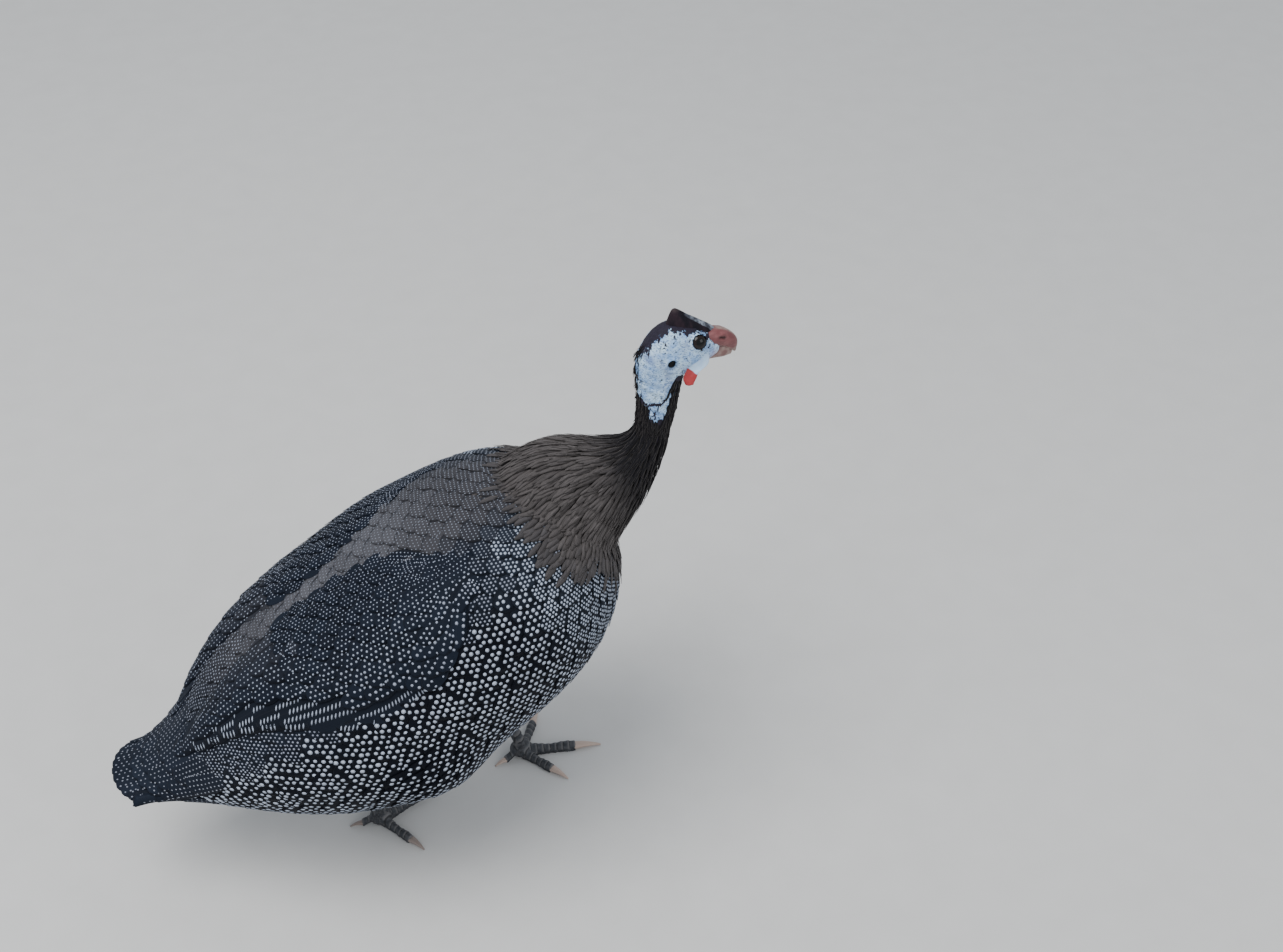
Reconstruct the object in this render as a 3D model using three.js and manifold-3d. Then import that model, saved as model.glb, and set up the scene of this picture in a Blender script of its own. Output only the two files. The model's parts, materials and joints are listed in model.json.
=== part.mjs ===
// A helmeted guinea fowl, life size, walking: the pearl grey farm breed. Millimetres, +X towards the bill,
// +Y to the bird's left, +Z up. The origin is on the ground below the middle of the whole bird.
import * as THREE from "three";
import { mergeVertices } from "three/addons/utils/BufferGeometryUtils.js";
import Module from "manifold-3d";

const wasm = await Module();
wasm.setup();

// Driving sizes
const BODY = {
  x: -12, // middle of the trunk
  z: 177,
  tilt: THREE.MathUtils.degToRad(37), // the breast is carried high
  nose: 175, // middle to breast
  tail: 209, // middle to the end of the tail's core
  up: 87, // half height above the axis
  down: 95,
  side: 101, // half width
  tailUp: 9,
  tailDown: 6,
  tailSide: 31,
  tailLift: 57, // how far the tail rises off the body's own axis
};
const PART_AT = -150; // along the body's axis, where the tail is parted from the trunk
const GAP = 0.35; // air between touching nodes
const HEAD_FROM = new THREE.Vector3(201, 0, 404); // the head's lists of places are measured from here
const EYE = new THREE.Vector3(198.6, 12.6, 402.8); // left eye's front; the right one is its mirror image
const EYE_RADIUS = 6.4;
const HEAD_HALF_WIDTH = 13.6;
const NECK_RADIUS = 12.4;
const FEET = {
  left: { x: 74, y: 36, turn: -8, outer: 70, hock: [52, 39, 78], knee: [40, 44, 130] },
  right: { x: -43, y: -4, turn: 28, outer: 82, hock: [-14, -16, 60], knee: [-6, -34, 118] },
};
const SHANK_RADIUS = 4.1;
const SCUTES_ON_SHANK = 11;
const TOES = [
  // degrees from straight ahead towards the outside, length to the claw, width, claw length, scutes
  { digit: 1, splay: 208, length: 15, width: 6, claw: 9, scutes: 3 },
  { digit: 2, splay: -42, length: 31, width: 7.8, claw: 15, scutes: 6 },
  { digit: 3, splay: 2, length: 43, width: 8.8, claw: 20, scutes: 8 },
  { digit: 4, splay: 70, length: 32, width: 7.4, claw: 13, scutes: 6 },
];
const SCUTE_EDGE = 0.9; // how far a plate on a leg stands over the next one
const CLAW_ROOT = 0.84; // of its toe's width
const CLAW_TAPER = 0.8;
const CLAW_ARCH = 0.9;
const FOOT_HEIGHT = 11; // the ball of the foot above the ground

// Where a value stands between evenly spaced ones, on a smooth curve through them
function along(values, t) {
  const last = values.length - 1;
  const p = THREE.MathUtils.clamp(t, 0, 1) * last;
  const i = Math.min(Math.floor(p), last - 1);
  const f = p - i;
  const [a, b, c, d] = [i - 1, i, i + 1, i + 2].map((k) => values[THREE.MathUtils.clamp(k, 0, last)]);
  return b + 0.5 * f * (c - a + f * (2 * a - 5 * b + 4 * c - d + f * (3 * (b - c) + d - a)));
}

// A closed geometry as a solid, turned right side out
function solid(geometry) {
  const bare = geometry.clone();
  Object.keys(bare.attributes)
    .filter((name) => name !== "position")
    .forEach((name) => bare.deleteAttribute(name));
  const merged = mergeVertices(bare, 1e-4);
  const vertProperties = merged.attributes.position.array;
  const triVerts = new Uint32Array(merged.index.array);
  const made = new wasm.Manifold(new wasm.Mesh({ numProp: 3, vertProperties, triVerts }));
  if (made.volume() > 0) return made;
  for (let i = 0; i < triVerts.length; i += 3)
    [triVerts[i], triVerts[i + 1]] = [triVerts[i + 1], triVerts[i]];
  return new wasm.Manifold(new wasm.Mesh({ numProp: 3, vertProperties, triVerts }));
}

const joined = (pieces) => pieces.reduce((sum, piece) => sum.add(piece));
const cutBy = (piece, cutters) => cutters.reduce((rest, cutter) => rest.subtract(cutter), piece);
const larger = (one, other) => (other.volume() > one.volume() ? other : one);
const largest = (piece) => piece.decompose().reduce(larger);
const mirrored = (piece) => piece.mirror([0, 1, 0]);

// A solid as a named mesh
function node(name, piece, color, roughness = 0.7) {
  const { vertProperties, numProp, triVerts, numVert } = largest(piece).getMesh();
  const positions = new Float32Array(numVert * 3);
  for (let i = 0; i < numVert; i++)
    positions.set(vertProperties.subarray(i * numProp, i * numProp + 3), i * 3);
  const geometry = new THREE.BufferGeometry()
    .setAttribute("position", new THREE.BufferAttribute(positions, 3))
    .setIndex(new THREE.BufferAttribute(triVerts, 1));
  geometry.computeVertexNormals();
  const mesh = new THREE.Mesh(geometry, new THREE.MeshStandardMaterial({ color, roughness, metalness: 0 }));
  mesh.name = name;
  return mesh;
}

// A capped cylinder whose rings are moved by place(t along, angle, 0 at a cap's middle and 1 on the rim)
function ringed(sides, steps, place) {
  const geometry = new THREE.CylinderGeometry(1, 1, 1, sides, steps);
  const spot = geometry.attributes.position;
  const v = new THREE.Vector3();
  for (let i = 0; i < spot.count; i++) {
    v.fromBufferAttribute(spot, i);
    v.copy(place(0.5 - v.y, Math.atan2(v.x, v.z), Math.hypot(v.x, v.z)));
    spot.setXYZ(i, v.x, v.y, v.z);
  }
  return solid(geometry);
}

// A limb along a path: up, down and side are its half sizes, and grow makes it fatter all over
function limb({ path, up, down = up, side, sides = 12, steps = 10, ridge = () => 0 }, grow = 0) {
  const curve = new THREE.CatmullRomCurve3(path.map((p) => new THREE.Vector3(...p)));
  const across = new THREE.Vector3(0, 1, 0);
  return ringed(sides, steps, (t, angle, r) => {
    const tangent = curve.getTangent(t);
    const sideways = across.clone().addScaledVector(tangent, -across.dot(tangent)).normalize();
    const normal = new THREE.Vector3().crossVectors(tangent, sideways);
    const c = Math.cos(angle);
    const s = Math.sin(angle);
    const raised = ridge(t, angle);
    const high = (along(c > 0 ? up : down, t) + raised + grow) * c * r;
    const wide = (along(side, t) + raised + grow) * s * r;
    const end = grow * (t <= 0 ? -1 : t >= 1 ? 1 : 0);
    const spot = curve.getPoint(t).addScaledVector(normal, high).addScaledVector(sideways, wide);
    return spot.addScaledVector(tangent, end);
  });
}

// A thin slab from a grid, split alike on both faces: place(a along 0..1, b across -1..1, 0 below or 1 above)
function slab(stepsAlong, stepsAcross, place) {
  const spots = [];
  const faces = [];
  const row = stepsAcross + 1;
  const layer = (stepsAlong + 1) * row;
  for (const side of [0, 1])
    for (let i = 0; i <= stepsAlong; i++)
      for (let j = 0; j <= stepsAcross; j++)
        spots.push(...place(i / stepsAlong, (2 * j) / stepsAcross - 1, side).toArray());
  const quad = (a, b, c, d) => faces.push(a, b, c, a, c, d);
  for (let i = 0; i < stepsAlong; i++)
    for (let j = 0; j < stepsAcross; j++) {
      const k = i * row + j;
      quad(k + layer, k + layer + 1, k + layer + row + 1, k + layer + row);
      faces.push(k, k + row + 1, k + 1, k, k + row, k + row + 1);
    }
  for (let j = 0; j < stepsAcross; j++) {
    const far = stepsAlong * row + j;
    quad(j, j + 1, j + 1 + layer, j + layer);
    quad(far + 1, far, far + layer, far + 1 + layer);
  }
  for (let i = 0; i < stepsAlong; i++) {
    const near = i * row;
    const far = near + stepsAcross;
    quad(near + row, near, near + layer, near + row + layer);
    quad(far, far + row, far + row + layer, far + layer);
  }
  const geometry = new THREE.BufferGeometry()
    .setAttribute("position", new THREE.Float32BufferAttribute(spots, 3))
    .setIndex(faces);
  return solid(geometry);
}

// The body's surface: s along its axis, angle from the back's middle line round to the belly
function bodySize(s) {
  const front = Math.sqrt(Math.max(0, 1 - (Math.max(0, s) / BODY.nose) ** 3.3));
  const rear = Math.max(0, 1 - (Math.max(0, -s) / BODY.tail) ** 3.1) ** 2.3;
  const size = (middle, tail) => (s > 0 ? middle * front : tail + (middle - tail) * rear);
  return {
    up: size(BODY.up, BODY.tailUp),
    down: size(BODY.down, BODY.tailDown),
    side: size(BODY.side, BODY.tailSide),
    rise: s < 0 ? BODY.tailLift * (-s / BODY.tail) ** 2 : 0,
  };
}

function bodySpot(s, angle) {
  const { up, down, side, rise } = bodySize(s);
  const c = Math.cos(angle);
  const n = rise + (c > 0 ? up : down) * c;
  return new THREE.Vector3(
    BODY.x + s * Math.cos(BODY.tilt) - n * Math.sin(BODY.tilt),
    side * Math.sin(angle),
    BODY.z + s * Math.sin(BODY.tilt) + n * Math.cos(BODY.tilt),
  );
}

function bodyNormal(s, angle) {
  const near = THREE.MathUtils.clamp(s, -2 * BODY.tail, BODY.nose - 2);
  const alongBody = bodySpot(near + 1, angle).sub(bodySpot(near - 1, angle));
  const roundBody = bodySpot(near, angle + 0.01).sub(bodySpot(near, angle - 0.01));
  return alongBody.cross(roundBody).normalize();
}

const onBody = (s, angle, lift) => bodySpot(s, angle).addScaledVector(bodyNormal(s, angle), lift);

// The trunk or the tail's core: the body's surface between two places along it
function bodyBetween(from, to, sides, steps, grow = 0) {
  return ringed(sides, steps, (t, angle, r) => {
    const eased = to > 0 ? 1 - (1 - t) ** 1.6 : t; // rings close up towards the round breast
    const s = THREE.MathUtils.lerp(from - grow, to + grow, eased);
    if (r < 0.5) return bodySpot(s, 0).lerp(bodySpot(s, Math.PI), 0.5);
    return onBody(s, angle, grow);
  });
}

const trunk = (grow) => bodyBetween(PART_AT, BODY.nose - 0.5, 26, 20, grow);
const tailCore = (grow) => bodyBetween(-BODY.tail, PART_AT - GAP, 24, 8, grow);

// How feathers lie: sunk at the root, one edge over the next feather, arched, and thicker towards the root
const VANE = { sunk: 0.8, shingle: 0.35, camber: 0.3, thick: 0.8, rootThick: 2 };

// A flight feather's vane lying on a surface: spot(t from root to tip, c across -1..1, lift) places it
function vane({ width, rise, steps = 3, tip = 0.64 }, spot, halfUnit) {
  return slab(steps, 2, (t, c, side) => {
    const round = t > tip ? Math.sqrt(1 - 0.9 * ((t - tip) / (1 - tip)) ** 2) : 0.72 + (0.28 * t) / tip;
    const top = VANE.sunk * (t - 1) + rise * t + VANE.shingle * c - VANE.camber * c * c;
    const depth = VANE.thick + VANE.rootThick * (1 - t);
    return spot(t, (c * round * width) / 2 / halfUnit(t), side ? top : top - depth);
  });
}

// Wings, folded: places on the body from the shoulder (a = 0) to the tip (a = 1), b = -1 near the back's
// middle line and b = 1 on the lower edge
const WING = { from: 92, to: -150, thick: 6.5, edge: 1.2, sunk: -4 };
const WING_UPPER = [30, 13, 7, 6, 8, 13, 20]; // degrees round the body
const WING_LOWER = [44, 66, 68, 58, 47, 39, 32];
// Each tier of flight feathers: how many, then the first and the last one's root and tip as [a, b]
const TIERS = [
  // primaries
  { count: 3, width: 13, rise: 0.5, first: [0.6, 0.35, 0.97, 0.6], last: [0.66, -0.05, 1.05, -0.2] },
  // secondaries
  { count: 8, width: 18, rise: 1, first: [0.2, 0.25, 0.42, 0.97], last: [0.58, -0.05, 0.95, 0.32] },
  // greater coverts
  { count: 6, width: 18, rise: 1.5, first: [0.1, 0, 0.29, 0.55], last: [0.5, -0.2, 0.74, 0.1] },
  // tertials
  { count: 4, width: 24, rise: 1.9, first: [0.08, -0.35, 0.42, -0.25], last: [0.5, -0.5, 0.95, -0.55] },
];
const RANDOM_SEED = 11;

function wingSpot(a, b, lift) {
  const s = THREE.MathUtils.lerp(WING.from, WING.to, a);
  const upper = THREE.MathUtils.degToRad(along(WING_UPPER, a));
  const lower = THREE.MathUtils.degToRad(along(WING_LOWER, a));
  return onBody(s, THREE.MathUtils.lerp(upper, lower, (b + 1) / 2), lift);
}

function wingTop(a, b) {
  const full = Math.sin(Math.PI * Math.min(1, 0.12 + 0.88 * a)) ** 0.5 * Math.max(0, 1 - b ** 4);
  return WING.edge + (WING.thick - WING.edge) * full;
}

function wing() {
  THREE.MathUtils.seededRandom(RANDOM_SEED);
  const core = slab(10, 6, (a, b, side) => wingSpot(a, b, side ? wingTop(a, b) : WING.sunk));
  const vary = (size) => size * (THREE.MathUtils.seededRandom() - 0.5);
  const vanes = TIERS.flatMap(({ count, width, rise, first, last }) =>
    Array.from({ length: count }, (_, i) => {
      const u = i / (count - 1);
      const [a0, b0, a1, b1] = first.map((v, k) => THREE.MathUtils.lerp(v, last[k], u) + vary(0.02));
      const at = (t) => [THREE.MathUtils.lerp(a0, a1, t), THREE.MathUtils.lerp(b0, b1, t)];
      const spot = (t, c, lift) => {
        const [a, b] = at(t);
        return wingSpot(a, b + c, wingTop(a, b + c) + lift);
      };
      const unit = (t) => {
        const [a, b] = at(t);
        return wingSpot(a, b + 0.1, 0).distanceTo(wingSpot(a, b - 0.1, 0)) / 0.2;
      };
      return vane({ width: width + vary(1.5), rise }, spot, unit);
    }),
  );
  return joined([core, ...vanes]);
}

// Tail: short flight feathers under a row of coverts, on a core that goes on from the body
const TAIL_TIERS = [
  { count: 7, width: 19, rise: 0.5, spread: 66, root: -168, tip: -220, shorter: 9 },
  { count: 4, width: 22, rise: 1.5, spread: 40, root: -160, tip: -203, shorter: 6 },
];

function tail() {
  const vanes = TAIL_TIERS.flatMap(({ count, width, rise, spread, root, tip, shorter }) =>
    Array.from({ length: count }, (_, i) => {
      const u = (2 * i) / (count - 1) - 1;
      const middle = THREE.MathUtils.degToRad(u * spread);
      const end = tip + shorter * u * u;
      const spot = (t, c, lift) => onBody(THREE.MathUtils.lerp(root, end, t), middle + c, lift);
      const unit = (t) => {
        const s = THREE.MathUtils.lerp(root, end, t);
        return bodySpot(s, middle + 0.1).distanceTo(bodySpot(s, middle - 0.1)) / 0.2;
      };
      return vane({ width, rise }, spot, unit);
    }),
  );
  return joined([tailCore(0), ...vanes]);
}

// Neck: a wide cape of feathers at the shoulders, then the slim bare neck
const NECK = {
  path: [
    [88, 0, 260],
    [115.5, 0, 286],
    [144.5, 0, 305],
    [163, 0, 323],
    [172, 0, 348],
    [177.8, 0, 374],
    [186.5, 0, 394],
  ],
  up: [56, 50, 27, 12.6, 13.2, 19, 23],
  down: [50, 46, 34, 20.5, 14.2, NECK_RADIUS, 12],
  side: [56, 44, 28, 14, 12.2, 12.4, 12.8],
  sides: 16,
  steps: 13,
};
const neckAll = limb(NECK);

// Head. The lists run from the nape to the bill
const headX = (h) => HEAD_FROM.x + h;
const headZ = (k) => HEAD_FROM.z + k;
const HEAD = {
  from: -40,
  to: 14,
  top: [-9, 3, 10, 12.5, 12, 9.5, 6.5, 2.5, -1],
  bottom: [-16, -25, -29, -28.5, -26, -23.5, -21, -19, -16],
  side: [4, 11, 13, 13.6, 13.6, 12.8, 11.4, 9.6, 7],
};

function headSkin(grow = 0) {
  return ringed(16, 12, (t, angle, r) => {
    const h = THREE.MathUtils.lerp(HEAD.from - grow, HEAD.to + grow, t);
    const top = along(HEAD.top, t) + grow;
    const bottom = along(HEAD.bottom, t) - grow;
    const middle = (top + bottom) / 2;
    const high = (top - bottom) / 2;
    const c = Math.cos(angle) * r;
    const s = Math.sin(angle) * r;
    return new THREE.Vector3(headX(h), (along(HEAD.side, t) + grow) * s, headZ(middle + high * c));
  });
}

const placed = (geometry, x, y, z) => geometry.translate(x, y, z);
const eyeMiddle = [EYE.x, EYE.y - EYE_RADIUS + 0.4, EYE.z];
const eyeBall = (grow = 0) =>
  solid(placed(new THREE.SphereGeometry(EYE_RADIUS + grow, 12, 10), ...eyeMiddle));
const lidRing = () =>
  solid(
    placed(
      new THREE.TorusGeometry(6.1, 1.25, 5, 12).rotateX(Math.PI / 2).scale(1.08, 1, 0.94),
      EYE.x,
      EYE.y - 1.3,
      EYE.z,
    ),
  );
const EAR = { h: -19, k: -13, radius: 2.6, depth: 5 };
const earRim = () =>
  solid(
    placed(
      new THREE.TorusGeometry(EAR.radius + 0.8, 1, 5, 12).rotateX(Math.PI / 2).scale(1, 1.2, 1.25),
      headX(EAR.h),
      HEAD_HALF_WIDTH - 1.2,
      headZ(EAR.k),
    ),
  );
const earHole = () =>
  solid(
    placed(
      new THREE.CylinderGeometry(EAR.radius, EAR.radius * 0.6, EAR.depth * 2, 10).scale(1, 1, 1.25),
      headX(EAR.h),
      HEAD_HALF_WIDTH,
      headZ(EAR.k),
    ),
  );
const browRidge = new THREE.SphereGeometry(1, 8, 6).scale(8, 2.2, 1.7).rotateY(0.16);
const brow = () => solid(placed(browRidge.clone(), EYE.x - 0.5, EYE.y - 2.9, EYE.z + 6));
const both = (piece) => [piece, mirrored(piece)];

// Bill: two horny halves that part along the line of the mouth
const UPPER_BILL = {
  path: [
    [headX(3), 0, headZ(-3.4)],
    [headX(10.5), 0, headZ(-3.4)],
    [headX(17), 0, headZ(-5.8)],
    [headX(22.2), 0, headZ(-10.6)],
    [headX(25.4), 0, headZ(-17.6)],
  ],
  up: [6, 6.4, 6, 4.8, 0.9],
  down: [6.5, 6.6, 5.6, 4, 0.9],
  side: [7.4, 7.6, 6, 4, 0.9],
  sides: 14,
  steps: 12,
};
const LOWER_BILL = {
  path: [
    [headX(2), 0, headZ(-15.5)],
    [headX(10), 0, headZ(-15.6)],
    [headX(17.5), 0, headZ(-16.8)],
    [headX(22.6), 0, headZ(-19)],
  ],
  up: [8, 8, 7.4, 3],
  down: [3.8, 3.6, 2.8, 0.8],
  side: [6.4, 6.2, 4.6, 1],
  sides: 12,
  steps: 8,
};
const nostril = () =>
  solid(placed(new THREE.SphereGeometry(1.5, 8, 5).scale(1.7, 0.8, 0.85), headX(15), 5.8, headZ(-1.6)));

// Casque: a horny fin on the crown, with a long slope to the bill and a blunt top
const CASQUE = {
  // from its foot on the crown to its blunt top
  heights: [-2, 5, 11, 16, 20, 21.8],
  front: [15, 9, 0.5, -7, -12.5, -15],
  back: [-24, -23, -22, -20.5, -18.8, -17.6],
  side: [7.5, 6, 4.6, 3.6, 2.6, 0.9],
};
function casqueHorn() {
  return ringed(16, 10, (t, angle, r) => {
    const front = along(CASQUE.front, t);
    const back = along(CASQUE.back, t);
    const reach = ((front - back) / 2) * Math.cos(angle) * r;
    const wide = along(CASQUE.side, t) * Math.sin(angle) * r * (1 - 0.35 * Math.max(0, Math.cos(angle)));
    return new THREE.Vector3(headX((front + back) / 2 + reach), wide, headZ(along(CASQUE.heights, t)));
  });
}

// Wattles: leaf shaped flaps that hang back from the corners of the mouth
function wattle() {
  const length = 18;
  const place = (a, b, side) => {
    const half = 8.2 * Math.sin(Math.PI * (0.18 + 0.74 * a)) ** 0.8;
    const h = -2.5 - 4 * a + b * half * 0.92;
    const k = -12 - length * a + b * half * 0.25;
    const out = 8.6 + 6.5 * a + 1.6 * b * a + (side - 0.5) * (2.6 - 0.9 * Math.abs(b));
    return new THREE.Vector3(headX(h), out, headZ(k));
  };
  return slab(6, 4, place);
}

// Legs
function leg(foot, y) {
  const hock = foot.hock;
  const ball = [foot.x, foot.y, FOOT_HEIGHT];
  const ridge = (t, angle) => {
    const plate = (t * SCUTES_ON_SHANK) % 1;
    return Math.cos(angle) > -0.2 ? SCUTE_EDGE * plate : 0;
  };
  const shank = (grow) =>
    limb(
      {
        path: [hock, hock.map((v, i) => v + (ball[i] - v) * 0.5), ball],
        up: [5.8, SHANK_RADIUS, SHANK_RADIUS, 4.6],
        down: [6.4, SHANK_RADIUS + 0.6, SHANK_RADIUS, 4.6],
        side: [5.2, SHANK_RADIUS - 0.5, SHANK_RADIUS - 0.4, 5],
        sides: 9,
        steps: SCUTES_ON_SHANK * 2,
        ridge,
      },
      grow,
    );
  const thigh = (grow) =>
    limb(
      {
        path: [foot.knee, hock.map((v, i) => v + (foot.knee[i] - v) * 0.45), hock],
        up: [34, 24, 8.5],
        down: [34, 22, 8.5],
        side: [30, 19, 8],
        sides: 12,
        steps: 8,
      },
      grow,
    );
  const turned = (piece, degrees) => piece.rotate([0, 0, degrees]).translate([foot.x, foot.y, 0]);
  const heading = foot.turn;
  const pad = (grow) =>
    turned(
      solid(
        placed(
          new THREE.SphereGeometry(1, 12, 8).scale(9 + grow, 8.2 + grow, FOOT_HEIGHT / 2 + 1 + grow),
          0,
          0,
          FOOT_HEIGHT / 2 + 1,
        ),
      ).trimByPlane([0, 0, 1], 0),
      heading,
    );
  return { shank, thigh, pad, turned, heading };
}

// A toe along +X with a flat sole and a raised edge to each scute
function toe({ length, width, scutes, digit }, grow = 0) {
  const start = digit === 1 ? 3 : 4;
  const lift = digit === 1 ? 6.5 : 0;
  return ringed(8, scutes * 2, (t, angle, r) => {
    const plate = SCUTE_EDGE * ((t * scutes) % 1);
    const fat = 1 + 0.1 * Math.sin(t * Math.PI * 3);
    const half = (width / 2) * (1 - 0.18 * t) * fat + grow;
    const c = Math.cos(angle);
    const high = c > 0 ? (width * 0.92 * (1 - 0.22 * t) * fat + plate + grow) * c : -grow;
    const wide = (half + plate * 0.5) * Math.sin(angle) * (c > 0 ? 1 : 0.82);
    const x = start - grow + (length - start + 2 * grow) * t;
    return new THREE.Vector3(x, wide * r, lift * (1 - t) + (r < 0.5 ? width * 0.3 : high));
  });
}

// A claw goes on from its toe, arched off the ground between its root and its point
function claw({ length, width, claw: reach }) {
  return ringed(7, 5, (t, angle, r) => {
    const size = CLAW_ROOT * (1 - t * CLAW_TAPER);
    const under = CLAW_ARCH * Math.sin(Math.PI * t);
    const high = width * size * (r < 0.5 ? 0.35 : 0.35 + 0.35 * Math.cos(angle));
    const wide = (width / 2) * size * Math.sin(angle) * r;
    return new THREE.Vector3(length + GAP + reach * t, wide, under + high);
  });
}

// Put together
const PLUMAGE = 0x2b2d35;
const SKIN = 0xb9cbe0;
const HORN = 0x3a3134;
const LEG = 0x34353c;
const CLAW = 0xc9ab98;
const bird = new THREE.Group();
bird.name = "guinea_fowl";

const trunkGrown = trunk(GAP);
bird.add(node("torso", trunk(0), PLUMAGE));

const skull = joined([headSkin(), neckAll]);
const planeAt = (x, z, tiltDegrees) => {
  const tilt = THREE.MathUtils.degToRad(tiltDegrees);
  const normal = [Math.sin(tilt), 0, Math.cos(tilt)];
  return { normal, offset: normal[0] * x + normal[2] * z };
};
const above = (piece, { normal, offset }, gap) => piece.trimByPlane(normal, offset + gap / 2);
const below = (piece, { normal, offset }, gap) => piece.trimByPlane(normal.map((v) => -v), -offset + gap / 2);
const HEAD_CUT = planeAt(headX(-26), headZ(-31), -14);
const NECK_CUT = planeAt(164, 340, 24);
bird.add(node("neck_lower", below(cutBy(neckAll, [trunkGrown]), NECK_CUT, GAP), 0x57504c));
bird.add(node("neck_upper", below(above(skull, NECK_CUT, GAP), HEAD_CUT, GAP), SKIN));

const casque = casqueHorn();
const billUpper = cutBy(limb(UPPER_BILL), [...both(nostril()), ...both(eyeBall(GAP))]);
const billLower = limb(LOWER_BILL);
const headFolds = [lidRing(), brow(), earRim()].flatMap(both);
const headBare = joined([above(skull, HEAD_CUT, GAP), ...headFolds]);
const head = cutBy(headBare, [...both(eyeBall(GAP)), ...both(earHole())]);
bird.add(node("head", cutBy(head, [limb(UPPER_BILL, GAP), limb(LOWER_BILL, GAP)]), SKIN));
bird.add(node("bill_upper", billUpper, 0x9c4a48, 0.4));
bird.add(node("bill_lower", cutBy(billLower, [limb(UPPER_BILL, GAP)]), 0x8c6a60, 0.4));
const underCasque = [headSkin(GAP), limb(UPPER_BILL, GAP), ...both(eyeBall(GAP))];
bird.add(node("casque", cutBy(casque, underCasque), HORN, 0.6));
bird.add(node("eye_left", eyeBall(), 0x1a0f0c, 0.1));
bird.add(node("eye_right", mirrored(eyeBall()), 0x1a0f0c, 0.1));
const nearWattle = [headSkin(2 * GAP), limb(NECK, GAP), limb(UPPER_BILL, GAP), limb(LOWER_BILL, GAP)];
const wattleLeft = cutBy(wattle(), nearWattle);
bird.add(node("wattle_left", wattleLeft, 0xb23b3b));
bird.add(node("wattle_right", mirrored(wattleLeft), 0xb23b3b));

bird.add(node("tail", tail(), PLUMAGE));
const wingLeft = cutBy(wing(), [trunkGrown, tailCore(GAP)]);
bird.add(node("wing_left", wingLeft, PLUMAGE));
bird.add(node("wing_right", mirrored(wingLeft), PLUMAGE));

for (const [side, foot] of Object.entries(FEET)) {
  const { shank, thigh, pad, turned, heading } = leg(foot);
  const outwards = side === "left" ? 1 : -1;
  bird.add(node(`thigh_${side}`, cutBy(thigh(0), [trunkGrown]), PLUMAGE));
  bird.add(node(`shank_${side}`, cutBy(shank(0), [thigh(GAP), pad(GAP), trunkGrown]), LEG));
  bird.add(node(`foot_${side}`, pad(0), LEG));
  const middle = turned(toe(TOES[2], GAP), heading);
  TOES.forEach((size) => {
    const degrees = heading + outwards * (size.digit === 4 ? foot.outer : size.splay);
    const name = `${side}_${size.digit}`;
    const nextToIt = size.digit === 3 ? [pad(GAP)] : [pad(GAP), middle];
    bird.add(node(`toe_${name}`, cutBy(turned(toe(size), degrees), nextToIt), LEG));
    bird.add(node(`claw_${name}`, turned(claw(size), degrees), CLAW, 0.5));
  });
}

// The origin goes below the middle of the whole bird
const span = new THREE.Box3().setFromObject(bird);
bird.children.forEach((piece) => piece.position.set(-(span.min.x + span.max.x) / 2, 0, 0));

export default bird;
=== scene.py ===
import json
import math

import bmesh
import bpy
import numpy as np
from mathutils import Matrix, Vector
from mathutils.bvhtree import BVHTree
from mathutils.kdtree import KDTree

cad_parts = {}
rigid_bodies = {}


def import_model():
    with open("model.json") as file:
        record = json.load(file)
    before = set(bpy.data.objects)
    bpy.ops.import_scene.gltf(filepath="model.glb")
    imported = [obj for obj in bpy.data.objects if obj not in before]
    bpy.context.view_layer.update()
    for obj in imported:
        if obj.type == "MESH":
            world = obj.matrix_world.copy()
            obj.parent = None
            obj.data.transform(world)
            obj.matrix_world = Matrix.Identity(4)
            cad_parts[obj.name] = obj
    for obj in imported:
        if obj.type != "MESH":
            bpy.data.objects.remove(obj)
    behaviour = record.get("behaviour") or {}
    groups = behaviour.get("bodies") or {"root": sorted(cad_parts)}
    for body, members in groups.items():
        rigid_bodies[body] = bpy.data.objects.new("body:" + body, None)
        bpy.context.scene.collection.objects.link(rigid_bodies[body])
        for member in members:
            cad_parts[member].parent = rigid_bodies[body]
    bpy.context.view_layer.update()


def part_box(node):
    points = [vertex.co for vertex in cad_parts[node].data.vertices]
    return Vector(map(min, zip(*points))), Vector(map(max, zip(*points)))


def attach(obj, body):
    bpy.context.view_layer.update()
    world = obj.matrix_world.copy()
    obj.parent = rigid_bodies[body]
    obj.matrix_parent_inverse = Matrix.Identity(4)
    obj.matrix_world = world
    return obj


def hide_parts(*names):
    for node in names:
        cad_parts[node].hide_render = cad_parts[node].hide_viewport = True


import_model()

scene = bpy.context.scene

# Camera, floor and light
# The bird is seen from its right side, from above head height. It stands on a pale studio floor under one
# large soft light from above, with a weaker one from the front.
PHOTO_WIDTH = 1283  # pixels
FOCAL_LENGTH = 1800  # pixels
camera = bpy.data.objects.new("camera", bpy.data.cameras.new("camera"))
scene.collection.objects.link(camera)
camera.location = (-0.0791, -0.9290, 1.0675)
camera.rotation_euler = (math.radians(51.1), 0, math.radians(-14.7))
camera.data.sensor_width = 36
camera.data.lens = 36 * FOCAL_LENGTH / PHOTO_WIDTH
camera.data.clip_end = 60
scene.camera = camera

MM = 0.001


def shown(name, mesh):
    """Puts a mesh into the scene as an object at the origin"""
    piece = bpy.data.objects.new(name, mesh)
    scene.collection.objects.link(piece)
    return piece


def from_bmesh(name, bm):
    mesh = bpy.data.meshes.new(name)
    bm.to_mesh(mesh)
    bm.free()
    mesh.shade_smooth()
    return shown(name, mesh)


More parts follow.
